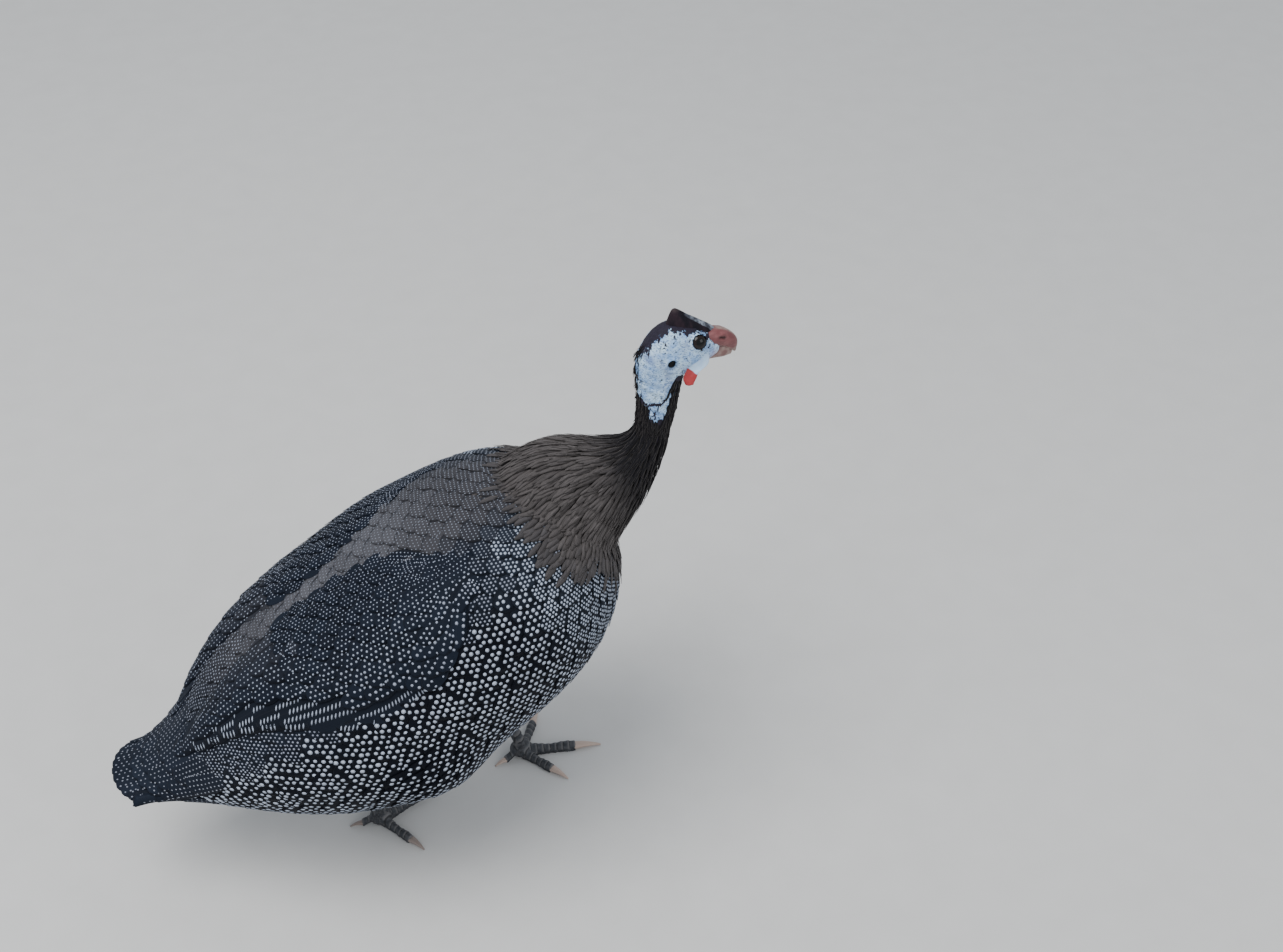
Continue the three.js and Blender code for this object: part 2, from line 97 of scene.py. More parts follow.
class Socket:
    """A node's output. The operators add Math nodes"""

    def __init__(self, finish, out):
        self.finish = finish
        self.out = out

    def math(self, operation, *others):
        return self.finish.node("ShaderNodeMath", {"operation": operation}, dict(enumerate((self, *others))))

    def __add__(self, other):
        return self.math("ADD", other)

    __radd__ = __add__

    def __sub__(self, other):
        return self.math("SUBTRACT", other)

    def __rsub__(self, other):
        return self.finish.node("ShaderNodeMath", {"operation": "SUBTRACT"}, {0: other, 1: self})

    def __mul__(self, other):
        return self.math("MULTIPLY", other)

    __rmul__ = __mul__

    def between(self, low, high):
        """0 below low, 1 above high, and a smooth step in between"""
        sockets = {"Value": self, "From Min": low, "From Max": high}
        return self.finish.node("ShaderNodeMapRange", {"interpolation_type": "SMOOTHSTEP"}, sockets)


class Finish:
    """A surface finish made of nodes. The shader's own sockets take the constants"""

    def __init__(self, name, **constants):
        self.material = bpy.data.materials.new(name)
        self.material.use_nodes = True
        self.tree = self.material.node_tree
        self.shader = self.tree.nodes["Principled BSDF"]
        for socket, value in constants.items():
            self.shader.inputs[socket.replace("_", " ")].default_value = value

    def node(self, kind, settings=None, sockets=None, output=0):
        made = self.tree.nodes.new(kind)
        for key, value in (settings or {}).items():
            setattr(made, key, value)
        for key, value in (sockets or {}).items():
            self.link(value, made.inputs[key])
        return Socket(self, made.outputs[output])

    def link(self, value, socket):
        if isinstance(value, Socket):
            self.tree.links.new(value.out, socket)
        elif isinstance(value, tuple) and socket.type == "RGBA":
            socket.default_value = (*value, 1)
        else:
            socket.default_value = value

    def place(self, scale=(1, 1, 1)):
        """Where a point is on the object, stretched by scale"""
        spot = self.node("ShaderNodeTexCoord", output="Object")
        return self.node("ShaderNodeMapping", None, {"Vector": spot, "Scale": scale})

    def noise(self, where, scale, detail=3, roughness=0.5):
        sockets = {"Vector": where, "Scale": scale, "Detail": detail, "Roughness": roughness}
        return self.node("ShaderNodeTexNoise", None, sockets)

    def attribute(self, name, output="Fac"):
        return self.node("ShaderNodeAttribute", {"attribute_name": name}, output=output)

    def mix(self, factor, first, second):
        return self.node("ShaderNodeMix", {"data_type": "RGBA"}, {0: factor, 6: first, 7: second}, output=2)

    def bump(self, height, strength, distance):
        """Raises the surface: distance is the size in metres of a height of one"""
        sockets = {"Height": height, "Strength": strength, "Distance": distance}
        return self.node("ShaderNodeBump", None, sockets)

    def feed(self, **links):
        for socket, value in links.items():
            self.link(value, self.shader.inputs[socket.replace("_", " ")])


def dress(piece, finish, *nodes, slot):
    """Gives a piece its finish, and lets it ride on the bird's body in place of the CAD nodes named"""
    piece.data.materials.clear()
    piece.data.materials.append(finish.material)
    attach(piece, "root")
    if nodes:
        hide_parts(*nodes)


paper = Finish("studio_floor", Roughness=0.9)
paper.feed(Base_Color=paper.mix(paper.noise(paper.place(), 30), (0.62, 0.61, 0.59), (0.68, 0.67, 0.65)))
bm = bmesh.new()
bmesh.ops.create_grid(bm, x_segments=1, y_segments=1, size=6)
floor = from_bmesh("studio_floor", bm)
floor.data.materials.append(paper.material)

world = bpy.data.worlds.new("studio")
world.use_nodes = True
world.node_tree.nodes["Background"].inputs["Color"].default_value = (0.86, 0.92, 1, 1)
world.node_tree.nodes["Background"].inputs["Strength"].default_value = 0.75
scene.world = world
for name, spot, aim, size, watts in (
    ("key", (-0.9, -0.5, 2.3), (0, 0, 0.2), 1.6, 52),
    ("front", (1.6, -1.9, 1.5), (0.05, 0, 0.2), 1.4, 14),
):
    lamp = bpy.data.objects.new(name, bpy.data.lights.new(name, "AREA"))
    scene.collection.objects.link(lamp)
    lamp.data.size = size
    lamp.data.energy = watts
    lamp.location = spot
    lamp.rotation_euler = (Vector(aim) - Vector(spot)).to_track_quat("-Z", "Y").to_euler()

# Body and skin
# One skin over trunk, neck, head and thighs. It lies under the feathers by their depth, and comes to the
# surface on the bare head and upper neck, where lids, ear cups, cheeks and wrinkles are folded into it.
eye_low, eye_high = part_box("eye_left")
SHIFT = (eye_low[0] + eye_high[0]) / 2 / MM - 198.6  # from the point that the bird's measures start from
EYE = np.array([198.6 + SHIFT, 6.6, 402.8])
HEAD = np.array([201 + SHIFT, 0, 404.0])  # the head's own measures start here
EYE_RADIUS = 6.4
COAT = 4.5  # depth of the feathers over the skin
BODY = {"x": -12 + SHIFT, "z": 177, "tilt": math.radians(37), "nose": 175, "tail": 209, "tail_rise": 57}
BODY_HALVES = ((87, 9), (95, 6), (101, 31))  # up, down and side, in the middle and at the tail's end


def along(values, t):
    """A smooth run through evenly spaced values, or points, read at t from 0 to 1"""
    run = np.asarray(values, float)
    p = np.clip(t, 0, 1) * (len(run) - 1)
    i = np.minimum(p.astype(int), len(run) - 2)
    a, b, c, d = (run[np.clip(i + k, 0, len(run) - 1)] for k in (-1, 0, 1, 2))
    f = (p - i)[..., None] if run.ndim > 1 else p - i
    return b + 0.5 * f * (c - a + f * (2 * a - 5 * b + 4 * c - d + f * (3 * (b - c) + d - a)))


def unit(vectors):
    return vectors / np.linalg.norm(vectors, axis=-1, keepdims=True)


def step(low, high, x):
    """A smooth step from 0 to 1"""
    t = np.clip((x - low) / (high - low), 0, 1)
    return t * t * (3 - 2 * t)


def hill(x, width, power=2):
    """1 at x = 0, and down to nothing on both sides"""
    return np.exp(-((x / width) ** power))


def body_surface(s, angle):
    """The body's outline: s along its axis, angle round it from the back's middle line to the left"""
    front = np.sqrt(np.clip(1 - (np.clip(s, 0, None) / BODY["nose"]) ** 3.3, 1e-4, 1))
    back = np.clip(-s, 0, None) / BODY["tail"]
    rear = np.clip(1 - np.clip(back, 0, 1) ** 3.1, 0, 1) ** 2.3
    up, down, side = (np.where(s > 0, mid * front, end + (mid - end) * rear) for mid, end in BODY_HALVES)
    n = BODY["tail_rise"] * back**2 + np.where(np.cos(angle) > 0, up, down) * np.cos(angle)
    c, k = math.cos(BODY["tilt"]), math.sin(BODY["tilt"])
    return np.stack([BODY["x"] + s * c - n * k, side * np.sin(angle), BODY["z"] + s * k + n * c], -1)


def limb_surface(path, up, down, side):
    """A limb's outline round a path: p in millimetres along it, angle from its upper side to the left"""
    path = np.asarray(path, float) + [SHIFT, 0, 0]
    length = np.linalg.norm(np.diff(path, axis=0), axis=1).sum()

    def surface(p, angle):
        t = np.clip(p / length, 0, 1)
        mid = np.clip(t, 0.01, 0.99)
        tangent = unit(along(path, mid + 0.01) - along(path, mid - 0.01))
        across = unit(np.array([0, 1, 0]) - tangent * tangent[..., 1:2])
        high = np.where(np.cos(angle) > 0, along(up, t), along(down, t)) * np.cos(angle)
        wide = along(side, t) * np.sin(angle)
        beyond = tangent * (p - np.clip(p, 0, length))[..., None]
        off = np.cross(tangent, across) * high[..., None] + across * wide[..., None]
        return along(path, t) + beyond + off

    surface.length = length
    surface.path = path
    return surface


NECK_PATH = [
    (88, 0, 260),
    (115.5, 0, 286),
    (144.5, 0, 305),
    (163, 0, 323),
    (172, 0, 348),
    (177.8, 0, 374),
    (186.5, 0, 394),
]
NECK_UP = [56, 50, 27, 12.6, 13.2, 19, 23]
NECK_DOWN = [50, 46, 34, 20.5, 14.2, 12.4, 12]
NECK_SIDE = [56, 44, 28, 14, 12.2, 12.4, 12.8]
neck_surface = limb_surface(NECK_PATH, NECK_UP, NECK_DOWN, NECK_SIDE)
HEAD_TOP = [-9, 3, 10, 12.5, 12, 9.5, 6.5, 2.5, -1]
HEAD_BOTTOM = [-16, -25, -29, -28.5, -26, -23.5, -21, -19, -16]
HEAD_SIDE = [4, 11, 13, 13.6, 13.6, 12.8, 11.4, 9.6, 7]
LEGS = {
    "left": {"x": 74, "y": 36, "turn": -8, "outer": 70, "hock": (52, 39, 78), "knee": (40, 44, 130)},
    "right": {"x": -43, "y": -4, "turn": 28, "outer": 82, "hock": (-14, -16, 60), "knee": (-6, -34, 118)},
}


def between(a, b, part):
    return tuple(v + (w - v) * part for v, w in zip(a, b))


thigh_surface = {}
for side_name, leg in LEGS.items():
    path = [leg["hock"], between(leg["hock"], leg["knee"], 0.45), leg["knee"]]
    thigh_surface[side_name] = limb_surface(path, [11, 26, 34], [11, 25, 34], [10, 21, 30])


def facing(surface, p, angle):
    """The outward normals of a surface, with its steps along and round"""
    lengthwise = surface(p + 0.5, angle) - surface(p - 0.5, angle)
    roundwise = (surface(p, angle + 0.005) - surface(p, angle - 0.005)) / 0.01
    return unit(np.cross(lengthwise, roundwise)), lengthwise, roundwise


def spots_of(verts):
    """Where vertices are, in millimetres"""
    return np.array([v.co for v in verts]) / MM


def move(verts, spots):
    for vert, spot in zip(verts, spots):
        vert.co = Vector(spot) * MM


def lofted(place, sides, rings):
    """A closed form from a ball: place(t, angle) moves its rings, t being 0 to 1, and centres its poles"""
    bm = bmesh.new()
    bmesh.ops.create_uvsphere(bm, u_segments=sides, v_segments=rings, radius=1)
    spots = np.array([v.co for v in bm.verts])
    t = np.arccos(np.clip(spots[:, 2], -1, 1)) / math.pi
    angle = np.arctan2(spots[:, 1], spots[:, 0])
    pole = (t < 1e-3) | (t > 1 - 1e-3)
    t = np.where(pole, t, np.clip((t * rings - 1) / (rings - 2), 0, 1))
    moved = place(t, angle)
    move(bm.verts, np.where(pole[:, None], (moved + place(t, angle + math.pi)) / 2, moved))
    bmesh.ops.recalc_face_normals(bm, faces=bm.faces)
    return bm


def one_surface(name, lofts, voxel):
    """One closed surface over forms that run into each other, as an object and as a bmesh to shape"""
    whole = bmesh.new()
    for loft in lofts:
        part = bpy.data.meshes.new("part")
        loft.to_mesh(part)
        loft.free()
        whole.from_mesh(part)
        bpy.data.meshes.remove(part)
    piece = from_bmesh(name, whole)
    remesh = piece.modifiers.new("one_surface", "REMESH")
    remesh.mode = "VOXEL"
    remesh.voxel_size = voxel
    depsgraph = bpy.context.evaluated_depsgraph_get()
    mesh = bpy.data.meshes.new_from_object(piece.evaluated_get(depsgraph))
    piece.modifiers.clear()
    piece.data = mesh
    bm = bmesh.new()
    bm.from_mesh(mesh)
    return piece, bm


def smooth(bm, verts, times):
    for _ in range(times):
        bmesh.ops.smooth_vert(bm, verts=verts, factor=0.5, use_axis_x=True, use_axis_y=True, use_axis_z=True)


def put_back(piece, bm):
    bm.to_mesh(piece.data)
    bm.free()
    piece.data.shade_smooth()


def inset_body(t, angle):
    s = np.clip(-206 + 379 * (1 - (1 - t) ** 1.5), -206, 172)
    depth = COAT - 3 * step(-150, -200, s)
    return body_surface(s, angle) - facing(body_surface, s, angle)[0] * depth[:, None]


def inset_limb(surface, depth):
    def place(t, angle):
        inner = facing(surface, np.clip(t * surface.length, 1, surface.length - 1), angle)[0]
        return surface(t * surface.length, angle) - inner * depth(t)[:, None]

    return place


def head_place(t, angle):
    top, bottom = along(HEAD_TOP, t), along(HEAD_BOTTOM, t)
    k = (top + bottom) / 2 + (top - bottom) / 2 * np.cos(angle)
    return np.stack([HEAD[0] - 40 + 54 * t, along(HEAD_SIDE, t) * np.sin(angle), HEAD[2] + k], -1)


def neck_depth(t):
    return COAT * (1 - step(0.35, 0.75, t))


def thigh_depth(t):
    return 3.5 * step(0, 0.4, t)


SKIN_VOXEL = 0.0024
lofts = [
    lofted(inset_body, 72, 64),
    lofted(inset_limb(neck_surface, neck_depth), 48, 60),
    lofted(head_place, 48, 40),
]
lofts += [lofted(inset_limb(surface, thigh_depth), 40, 30) for surface in thigh_surface.values()]
skin, bm = one_surface("skin", lofts, SKIN_VOXEL)
smooth(bm, bm.verts, 6)
BARE_FROM = 0.338  # metres above the ground
AHEAD = 0.12  # metres ahead of the body's middle
edges = [e for e in bm.edges if all(v.co.z > BARE_FROM and v.co.x > AHEAD for v in e.verts)]
bmesh.ops.subdivide_edges(bm, edges=edges, cuts=3, use_grid_fill=True)
smooth(bm, [v for v in bm.verts if v.co.z > BARE_FROM - 0.01 and v.co.x > AHEAD], 8)
bm.normal_update()
spots = spots_of(bm.verts)
normals = np.array([v.normal for v in bm.verts])

h, k = spots[:, 0] - HEAD[0], spots[:, 2] - HEAD[2]  # ahead of the head's point and above it
eye_h, eye_k = spots[:, 0] - EYE[0], spots[:, 2] - EYE[2]
y, side = np.abs(spots[:, 1]), np.sign(spots[:, 1])
on_head = spots[:, 2] > 372
GAZE = unit(np.array([0.10, 0.90, 0.36]))  # the eye looks out and a little up
LID_EDGE = 5.1
from_middle = np.stack([eye_h, y - EYE[1], eye_k], -1)
outward = from_middle @ GAZE
from_eye = np.linalg.norm(from_middle - outward[:, None] * GAZE, axis=1)
by_eye = on_head & (from_eye < 10) & (y > 3) & (outward > 0)
out_to, in_to = (np.sqrt(np.clip((EYE_RADIUS + more) ** 2 - from_eye**2, 0, None)) for more in (0.8, -1.5))
lid = np.where(from_eye < EYE_RADIUS + 0.8, np.maximum(outward, out_to), outward)
lid = lid + 0.45 * hill(from_eye - 5.9, 0.7) - 0.4 * hill(from_eye - 7.6, 0.6)
moved = np.where(from_eye < LID_EDGE, np.minimum(in_to, outward - 1.5), lid)
shift = (moved - outward)[:, None] * GAZE * np.stack([np.ones_like(side), side, np.ones_like(side)], -1)
spots = np.where(by_eye[:, None], spots + shift, spots)

EAR = {"h": -20.8, "k": -13.2, "radius": 3.0}
from_ear = np.hypot(h - EAR["h"], (k - EAR["k"]) / 1.25)
ear = hill(from_ear - 4.3, 0.9) - 3.8 * hill(from_ear, EAR["radius"], 4)
cheek = 0.8 * hill(h + 8, 9) * hill(k + 14, 6) - 0.6 * hill(h - 4, 5) * hill(k + 9, 2.2)
brow = 0.9 * hill(h - 1, 8) * hill(k - 6.6 + 0.10 * h, 1.4)
raised = np.where(on_head & (y > 4), (ear + cheek + brow) * step(6.4, 8.4, from_eye), 0)


def ripple(x, y, z, scale, seed):
    """Soft irregular waves with no repeat that can be seen"""
    turns = np.random.default_rng(seed).normal(size=(7, 3))
    phases = np.random.default_rng(seed + 1).uniform(0, 2 * math.pi, 7)
    return sum(np.sin((a * x + b * y + c * z) / scale + phase) for (a, b, c), phase in zip(turns, phases)) / 7


path = neck_surface.path
tt = np.linspace(0.4, 1, 240)
line = along(path, tt)
chunks = np.array_split(spots, 40)
near = np.concatenate([((part[:, None, ::2] - line[None, :, ::2]) ** 2).sum(-1).argmin(1) for part in chunks])
neck_t = tt[near]
neck_p = neck_t * neck_surface.length  # millimetres up the neck
tangent = unit(along(path, np.clip(neck_t + 0.01, 0, 1)) - along(path, np.clip(neck_t - 0.01, 0, 1)))
nape = np.stack([-tangent[:, 2], np.zeros(len(tangent)), tangent[:, 0]], -1)
to_nape = ((spots - line[near]) * nape).sum(-1)
neck_angle = np.degrees(np.arctan2(np.abs(spots[:, 1]), to_nape))  # from the nape's middle
bare_neck = step(0.62, 0.7, neck_t) * (1 - step(-24, -14, k)) * (spots[:, 0] > 120 + SHIFT)
folds = np.sin(neck_p / 1.15 + 2.2 * ripple(*spots.T, 9, 3) + 0.02 * neck_angle)
raised = raised + 2.6 * hill(k + 18, 11) * step(85, 20, neck_angle) * (spots[:, 0] > 120)
raised = raised + bare_neck * 0.35 * folds * step(-0.2, 0.6, ripple(*spots.T, 6, 5) + 0.4)
raised = raised + np.where(spots[:, 2] > 350, 0.18 * ripple(*spots.T, 1.1, 8), 0)
spots += normals * raised[:, None]

CROWN_H = [-44, -40, -36, -31, -26, -22, -18, -15, -8.6, -1, 6, 14]
CROWN_K = [-15, -10.5, -5.5, 2.5, 7, 9, 9.6, 8.4, 6.5, 5.4, 6.5, 7]
NAPE_K = [-75, -62, -55, -50, -48, -42, -36, -20]
NAPE_HALF = [14, 11.5, 10, 8.5, 5.5, 2.4, 0.4, 0.2]
UPPER_PATCH = [0, 10, 43, 60, 79, 96, 103], [131, 130, 126, 128, 129, 134, 156]  # degrees, lower edge
PATCH_GAP = UPPER_PATCH[0], [131, 130, 126, 128, 129, 133, 140]
LOWER_PATCH = [0, 40, 46, 58, 81, 96, 106, 110], [132, 124, 120, 114, 107, 110, 116, 134]
upper_end = np.maximum(neck_p - np.interp(neck_angle, *UPPER_PATCH), k + 24)
lower_end = neck_p - np.interp(neck_angle, *LOWER_PATCH)
gap = np.interp(neck_angle, *PATCH_GAP) - 2.0 - neck_p
nape_line = np.where(h < -15, y - np.interp(k, NAPE_K, NAPE_HALF), 9)
lore = np.hypot(np.clip(np.abs(eye_h - 8) - 4.5, 0, None), (eye_k - 2.6) / 0.9) - 1.6
lore = np.where((h > -4) & (y > 3), lore, 9)
patches = np.maximum(upper_end, np.minimum(lower_end, gap))
bare = np.minimum.reduce([patches, nape_line, np.interp(h, CROWN_H, CROWN_K) - k, lore])
bare = np.where(spots[:, 2] > 330, bare, -5)  # millimetres inside the edge of the bare pale skin

move(bm.verts, spots)
bm.normal_update()
put_back(skin, bm)


def paint(piece, **layers):
    """Gives a piece attributes with a value at each vertex"""
    for label, values in layers.items():
        layer = piece.data.attributes.new(label, "FLOAT", "POINT")
        layer.data.foreach_set("value", values.astype(np.float32))


# Painted shade: the ear opening is painted near black for the shade down in it
ear_hole_shade = hill(from_ear, 2.75, 6) * (on_head & (y > 4))
paint(skin, bare=bare, ear=ear_hole_shade, gape=hill(h - 9, 3) * hill(k + 13, 4))
skin_faces = [tuple(p.vertices) for p in skin.data.polygons]
skin_tree = BVHTree.FromPolygons([v.co for v in skin.data.vertices], skin_faces)

face = Finish(
    "bare_face", Subsurface_Weight=0.05, Subsurface_Scale=0.002, Subsurface_Radius=(0.5, 0.5, 0.6),
    Specular_IOR_Level=0.3,
)
where = face.place()
broken = face.noise(where, 260, 3, 0.6)
streaks = face.noise(face.place((1, 1, 0.3)), 420, 2)
hairs = face.noise(face.place((1, 1, 0.35)), 900, 2)
wrinkle = face.noise(face.place((1, 1, 1.7)), 700, 3)
inside = face.attribute("bare")
dark = 1 - (inside + (broken - 0.5) * 8 + (streaks - 0.5) * 7).between(-0.3, 0.4)
specks = streaks.between(0.58, 0.64) * (1 - inside.between(2, 9))
specks = specks + face.noise(where, 330, 3).between(0.64, 0.68)
pale = face.mix(face.noise(where, 120, 3).between(0.3, 0.7), (0.24, 0.42, 0.72), (0.54, 0.73, 0.90))
pale = face.mix(wrinkle.between(0.50, 0.62) * 0.8, pale, (0.09, 0.17, 0.38))
pale = face.mix(face.noise(where, 75, 3, 0.6).between(0.52, 0.7) * 0.55, pale, (0.12, 0.16, 0.32))
pale = face.mix(face.attribute("gape") * 0.4, pale, (0.60, 0.38, 0.40))
night = face.mix(hairs, (0.005, 0.004, 0.009), (0.024, 0.018, 0.038))
height = face.noise(where, 1500, 3) * 0.4 + face.noise(where, 420, 3) + dark * hairs * 0.8 - wrinkle * 0.5
both = face.mix((dark + specks).math("MINIMUM", 1), pale, night)
# The ear opening's painted shade goes over the rest of the face
face.feed(
    Base_Color=face.mix(face.attribute("ear").between(0.25, 0.6), both, (0.004, 0.003, 0.005)),
    Roughness=0.5 + dark * 0.25,
    Normal=face.bump(height, 0.7, 0.0007),
)
dress(skin, face, "torso", "neck_lower", "neck_upper", "head", "thigh_left", "thigh_right", slot="bare_skin")

# Contour feathers
# Rounded overlapping feathers in rows from breast to tail, each a thin closed vane with a shaft, dark slate
# with white spots. They grow from the skin and lie back, each row over the roots of the next.
UNWRAP_PATCH = 0.003
SHAFT_RISE = 0.12


def mesh_from_arrays(name, verts, quads, triangles, patches, barbs, tints, soft):
    """One mesh of many small closed forms, with patches to bake the finish on and barbs running over each form
    """
    mesh = bpy.data.meshes.new(name)
    count = len(quads) + len(triangles)
    corners = np.concatenate([quads.ravel(), triangles.ravel()]).astype(np.int32)
    starts = np.concatenate([np.arange(len(quads)) * 4, len(quads) * 4 + np.arange(len(triangles)) * 3])
    mesh.vertices.add(len(verts))
    mesh.vertices.foreach_set("co", (verts * MM).astype(np.float32).ravel())
    mesh.loops.add(len(corners))
    mesh.loops.foreach_set("vertex_index", corners)
    mesh.polygons.add(count)
    mesh.polygons.foreach_set("loop_start", starts.astype(np.int32))
    mesh.polygons.foreach_set("use_smooth", soft)
    mesh.update(calc_edges=True)
    for label, values in (("OFBake", patches), ("Barbs", barbs)):
        mesh.uv_layers.new(name=label).data.foreach_set("uv", values[corners].astype(np.float32).ravel())
    colour = np.concatenate([tints, np.ones((len(tints), 1))], 1).astype(np.float32)
    mesh.color_attributes.new("tint", "FLOAT_COLOR", "POINT").data.foreach_set("color", colour.ravel())
    return shown(name, mesh)


class Plumes:
    """Feathers on a surface: p and angle give each one's middle line from root to tip, row by row"""

    def __init__(
        self, surface, p, angle, width, lift,
        roll=0.0, camber=0.10, columns=5, tip=0.62, root=0.5, thick=0.35, on_skin=False,
    ):
        self.count, self.rows = p.shape
        self.columns, self.width, self.place = columns, width, (p[:, 0], angle[:, 0])
        self.v = v = PLUME_ROWS[self.rows]
        normal, lengthwise, roundwise = facing(surface, p, angle)
        sideways = unit(np.cross(normal, unit(np.gradient(surface(p, angle), axis=1))))
        step_p, step_q = ((sideways * way).sum(-1) / (way**2).sum(-1) for way in (lengthwise, roundwise))
        from_root = root + (1 - root) * np.minimum(v / tip, 1) ** 0.7
        to_tip = np.sqrt(1 - 0.93 * (np.maximum(v - tip, 0) / (1 - tip)) ** 2)
        self.outline = np.where(v > tip, to_tip, from_root)
        u = np.linspace(-1, 1, columns)
        x = u * self.outline[:, None] * width[:, None, None] / 2
        pp = p[..., None] + x * step_p[..., None]
        qq = angle[..., None] + x * step_q[..., None]
        base = surface(pp, qq)
        out = facing(surface, pp, qq)[0]
        height = lift[..., None] + roll * u - camber * np.abs(x) * np.abs(u) + SHAFT_RISE * (np.abs(u) < 0.1)
        if on_skin:
            base, far = lay_on_skin(base)
            self.far = far.max((1, 2))
        self.grid = base + out * height[..., None]
        self.normal = out
        mid = columns // 2
        self.length = np.linalg.norm(np.diff(self.grid[:, :, mid], axis=1), axis=-1).sum(1)
        under = self.grid[:, :, mid] - out[:, :, mid] * (thick + 0.5 * (1 - v))[:, None]
        self.verts = np.concatenate([self.grid.reshape(self.count, -1, 3), under], 1)

    def keep(self, chosen):
        for name in ("grid", "normal", "length", "verts", "width"):
            setattr(self, name, getattr(self, name)[chosen])
        self.place = tuple(values[chosen] for values in self.place)
        self.count = int(chosen.sum())

    def faces(self):
        rows, columns = self.rows, self.columns
        low = rows * columns
        top = [
            (i * columns + j, (i + 1) * columns + j, (i + 1) * columns + j + 1, i * columns + j + 1)
            for i in range(rows - 1)
            for j in range(columns - 1)
        ]
        for i in range(rows - 1):
            left, right = i * columns, i * columns + columns - 1
            top.append((left, low + i, low + i + 1, left + columns))
            top.append((low + i, right, right + columns, low + i + 1))
        ends = []
        for j in range(columns - 1):
            ends.append((j, j + 1, low))
            ends.append(((rows - 1) * columns + j + 1, (rows - 1) * columns + j, low + rows - 1))
        return np.array(top), np.array(ends)

    def piece(self, name, tint, unwrap):
        """The feathers as one object. unwrap gives each root's place on the flat skin, tint its colour"""
        quads, ends = self.faces()
        per = self.verts.shape[1]
        first = (np.arange(self.count) * per)[:, None, None]
        u = np.linspace(-1, 1, self.columns)
        uu = np.concatenate([np.tile(u, self.rows), np.zeros(self.rows)])
        vv = np.concatenate([np.repeat(self.v, self.columns), self.v])
        patch = unwrap[:, None] + np.stack([uu, vv], -1)[None] * [UNWRAP_PATCH / 2, UNWRAP_PATCH]
        scaled = np.stack([uu * self.width[:, None] / 2, vv * self.length[:, None]], -1)
        on_top = np.arange(len(quads)) < (self.rows - 1) * (self.columns - 1)
        return mesh_from_arrays(
            name,
            self.verts.reshape(-1, 3),
            (quads + first).reshape(-1, 4),
            (ends + first).reshape(-1, 3),
            patch.reshape(-1, 2),
            scaled.reshape(-1, 2),
            np.repeat(tint, per, 0),
            np.concatenate([np.tile(on_top, self.count), np.zeros(self.count * len(ends), bool)]),
        )

    def reach(self, which, v):
        """Half of a feather's width at v"""
        return self.width[which] / 2 * np.interp(v, self.v, self.outline)

    def at(self, which, u, v):
        """Points on the feathers' upper side"""
        row = np.clip(np.interp(v, self.v, np.arange(self.rows)), 0, self.rows - 1.001)
        col = np.clip((u + 1) / 2 * (self.columns - 1), 0, self.columns - 1.001)
        i, j = row.astype(int), col.astype(int)
        f, g = (row - i)[..., None], (col - j)[..., None]
        a, b = self.grid[which, i, j], self.grid[which, i, j + 1]
        c, d = self.grid[which, i + 1, j], self.grid[which, i + 1, j + 1]
        return a * (1 - f) * (1 - g) + b * (1 - f) * g + c * f * (1 - g) + d * f * g


PLUME_ROWS = {
    8: np.array([0, 0.32, 0.56, 0.72, 0.83, 0.91, 0.97, 1]),
    5: np.array([0, 0.35, 0.65, 0.88, 1]),
    14: np.array([0, 0.08, 0.17, 0.26, 0.35, 0.44, 0.53, 0.62, 0.71, 0.79, 0.87, 0.93, 0.975, 1]),
}
SPOT_CORNERS = 10
SPOT_RIM, SPOT_RISE, SPOT_DEPTH = 0.05, 0.16, 0.12  # millimetres over and under the vane


def lay_on_skin(points):
    """The nearest places on the skin, and how far away they were"""
    flat = points.reshape(-1, 3)
    found = np.empty_like(flat)
    away = np.empty(len(flat))
    for i, spot in enumerate(flat):
        place, normal, _, distance = skin_tree.find_nearest(Vector(spot) * MM)
        found[i] = place / MM
        away[i] = distance / MM
    return found.reshape(points.shape), away.reshape(points.shape[:-1])


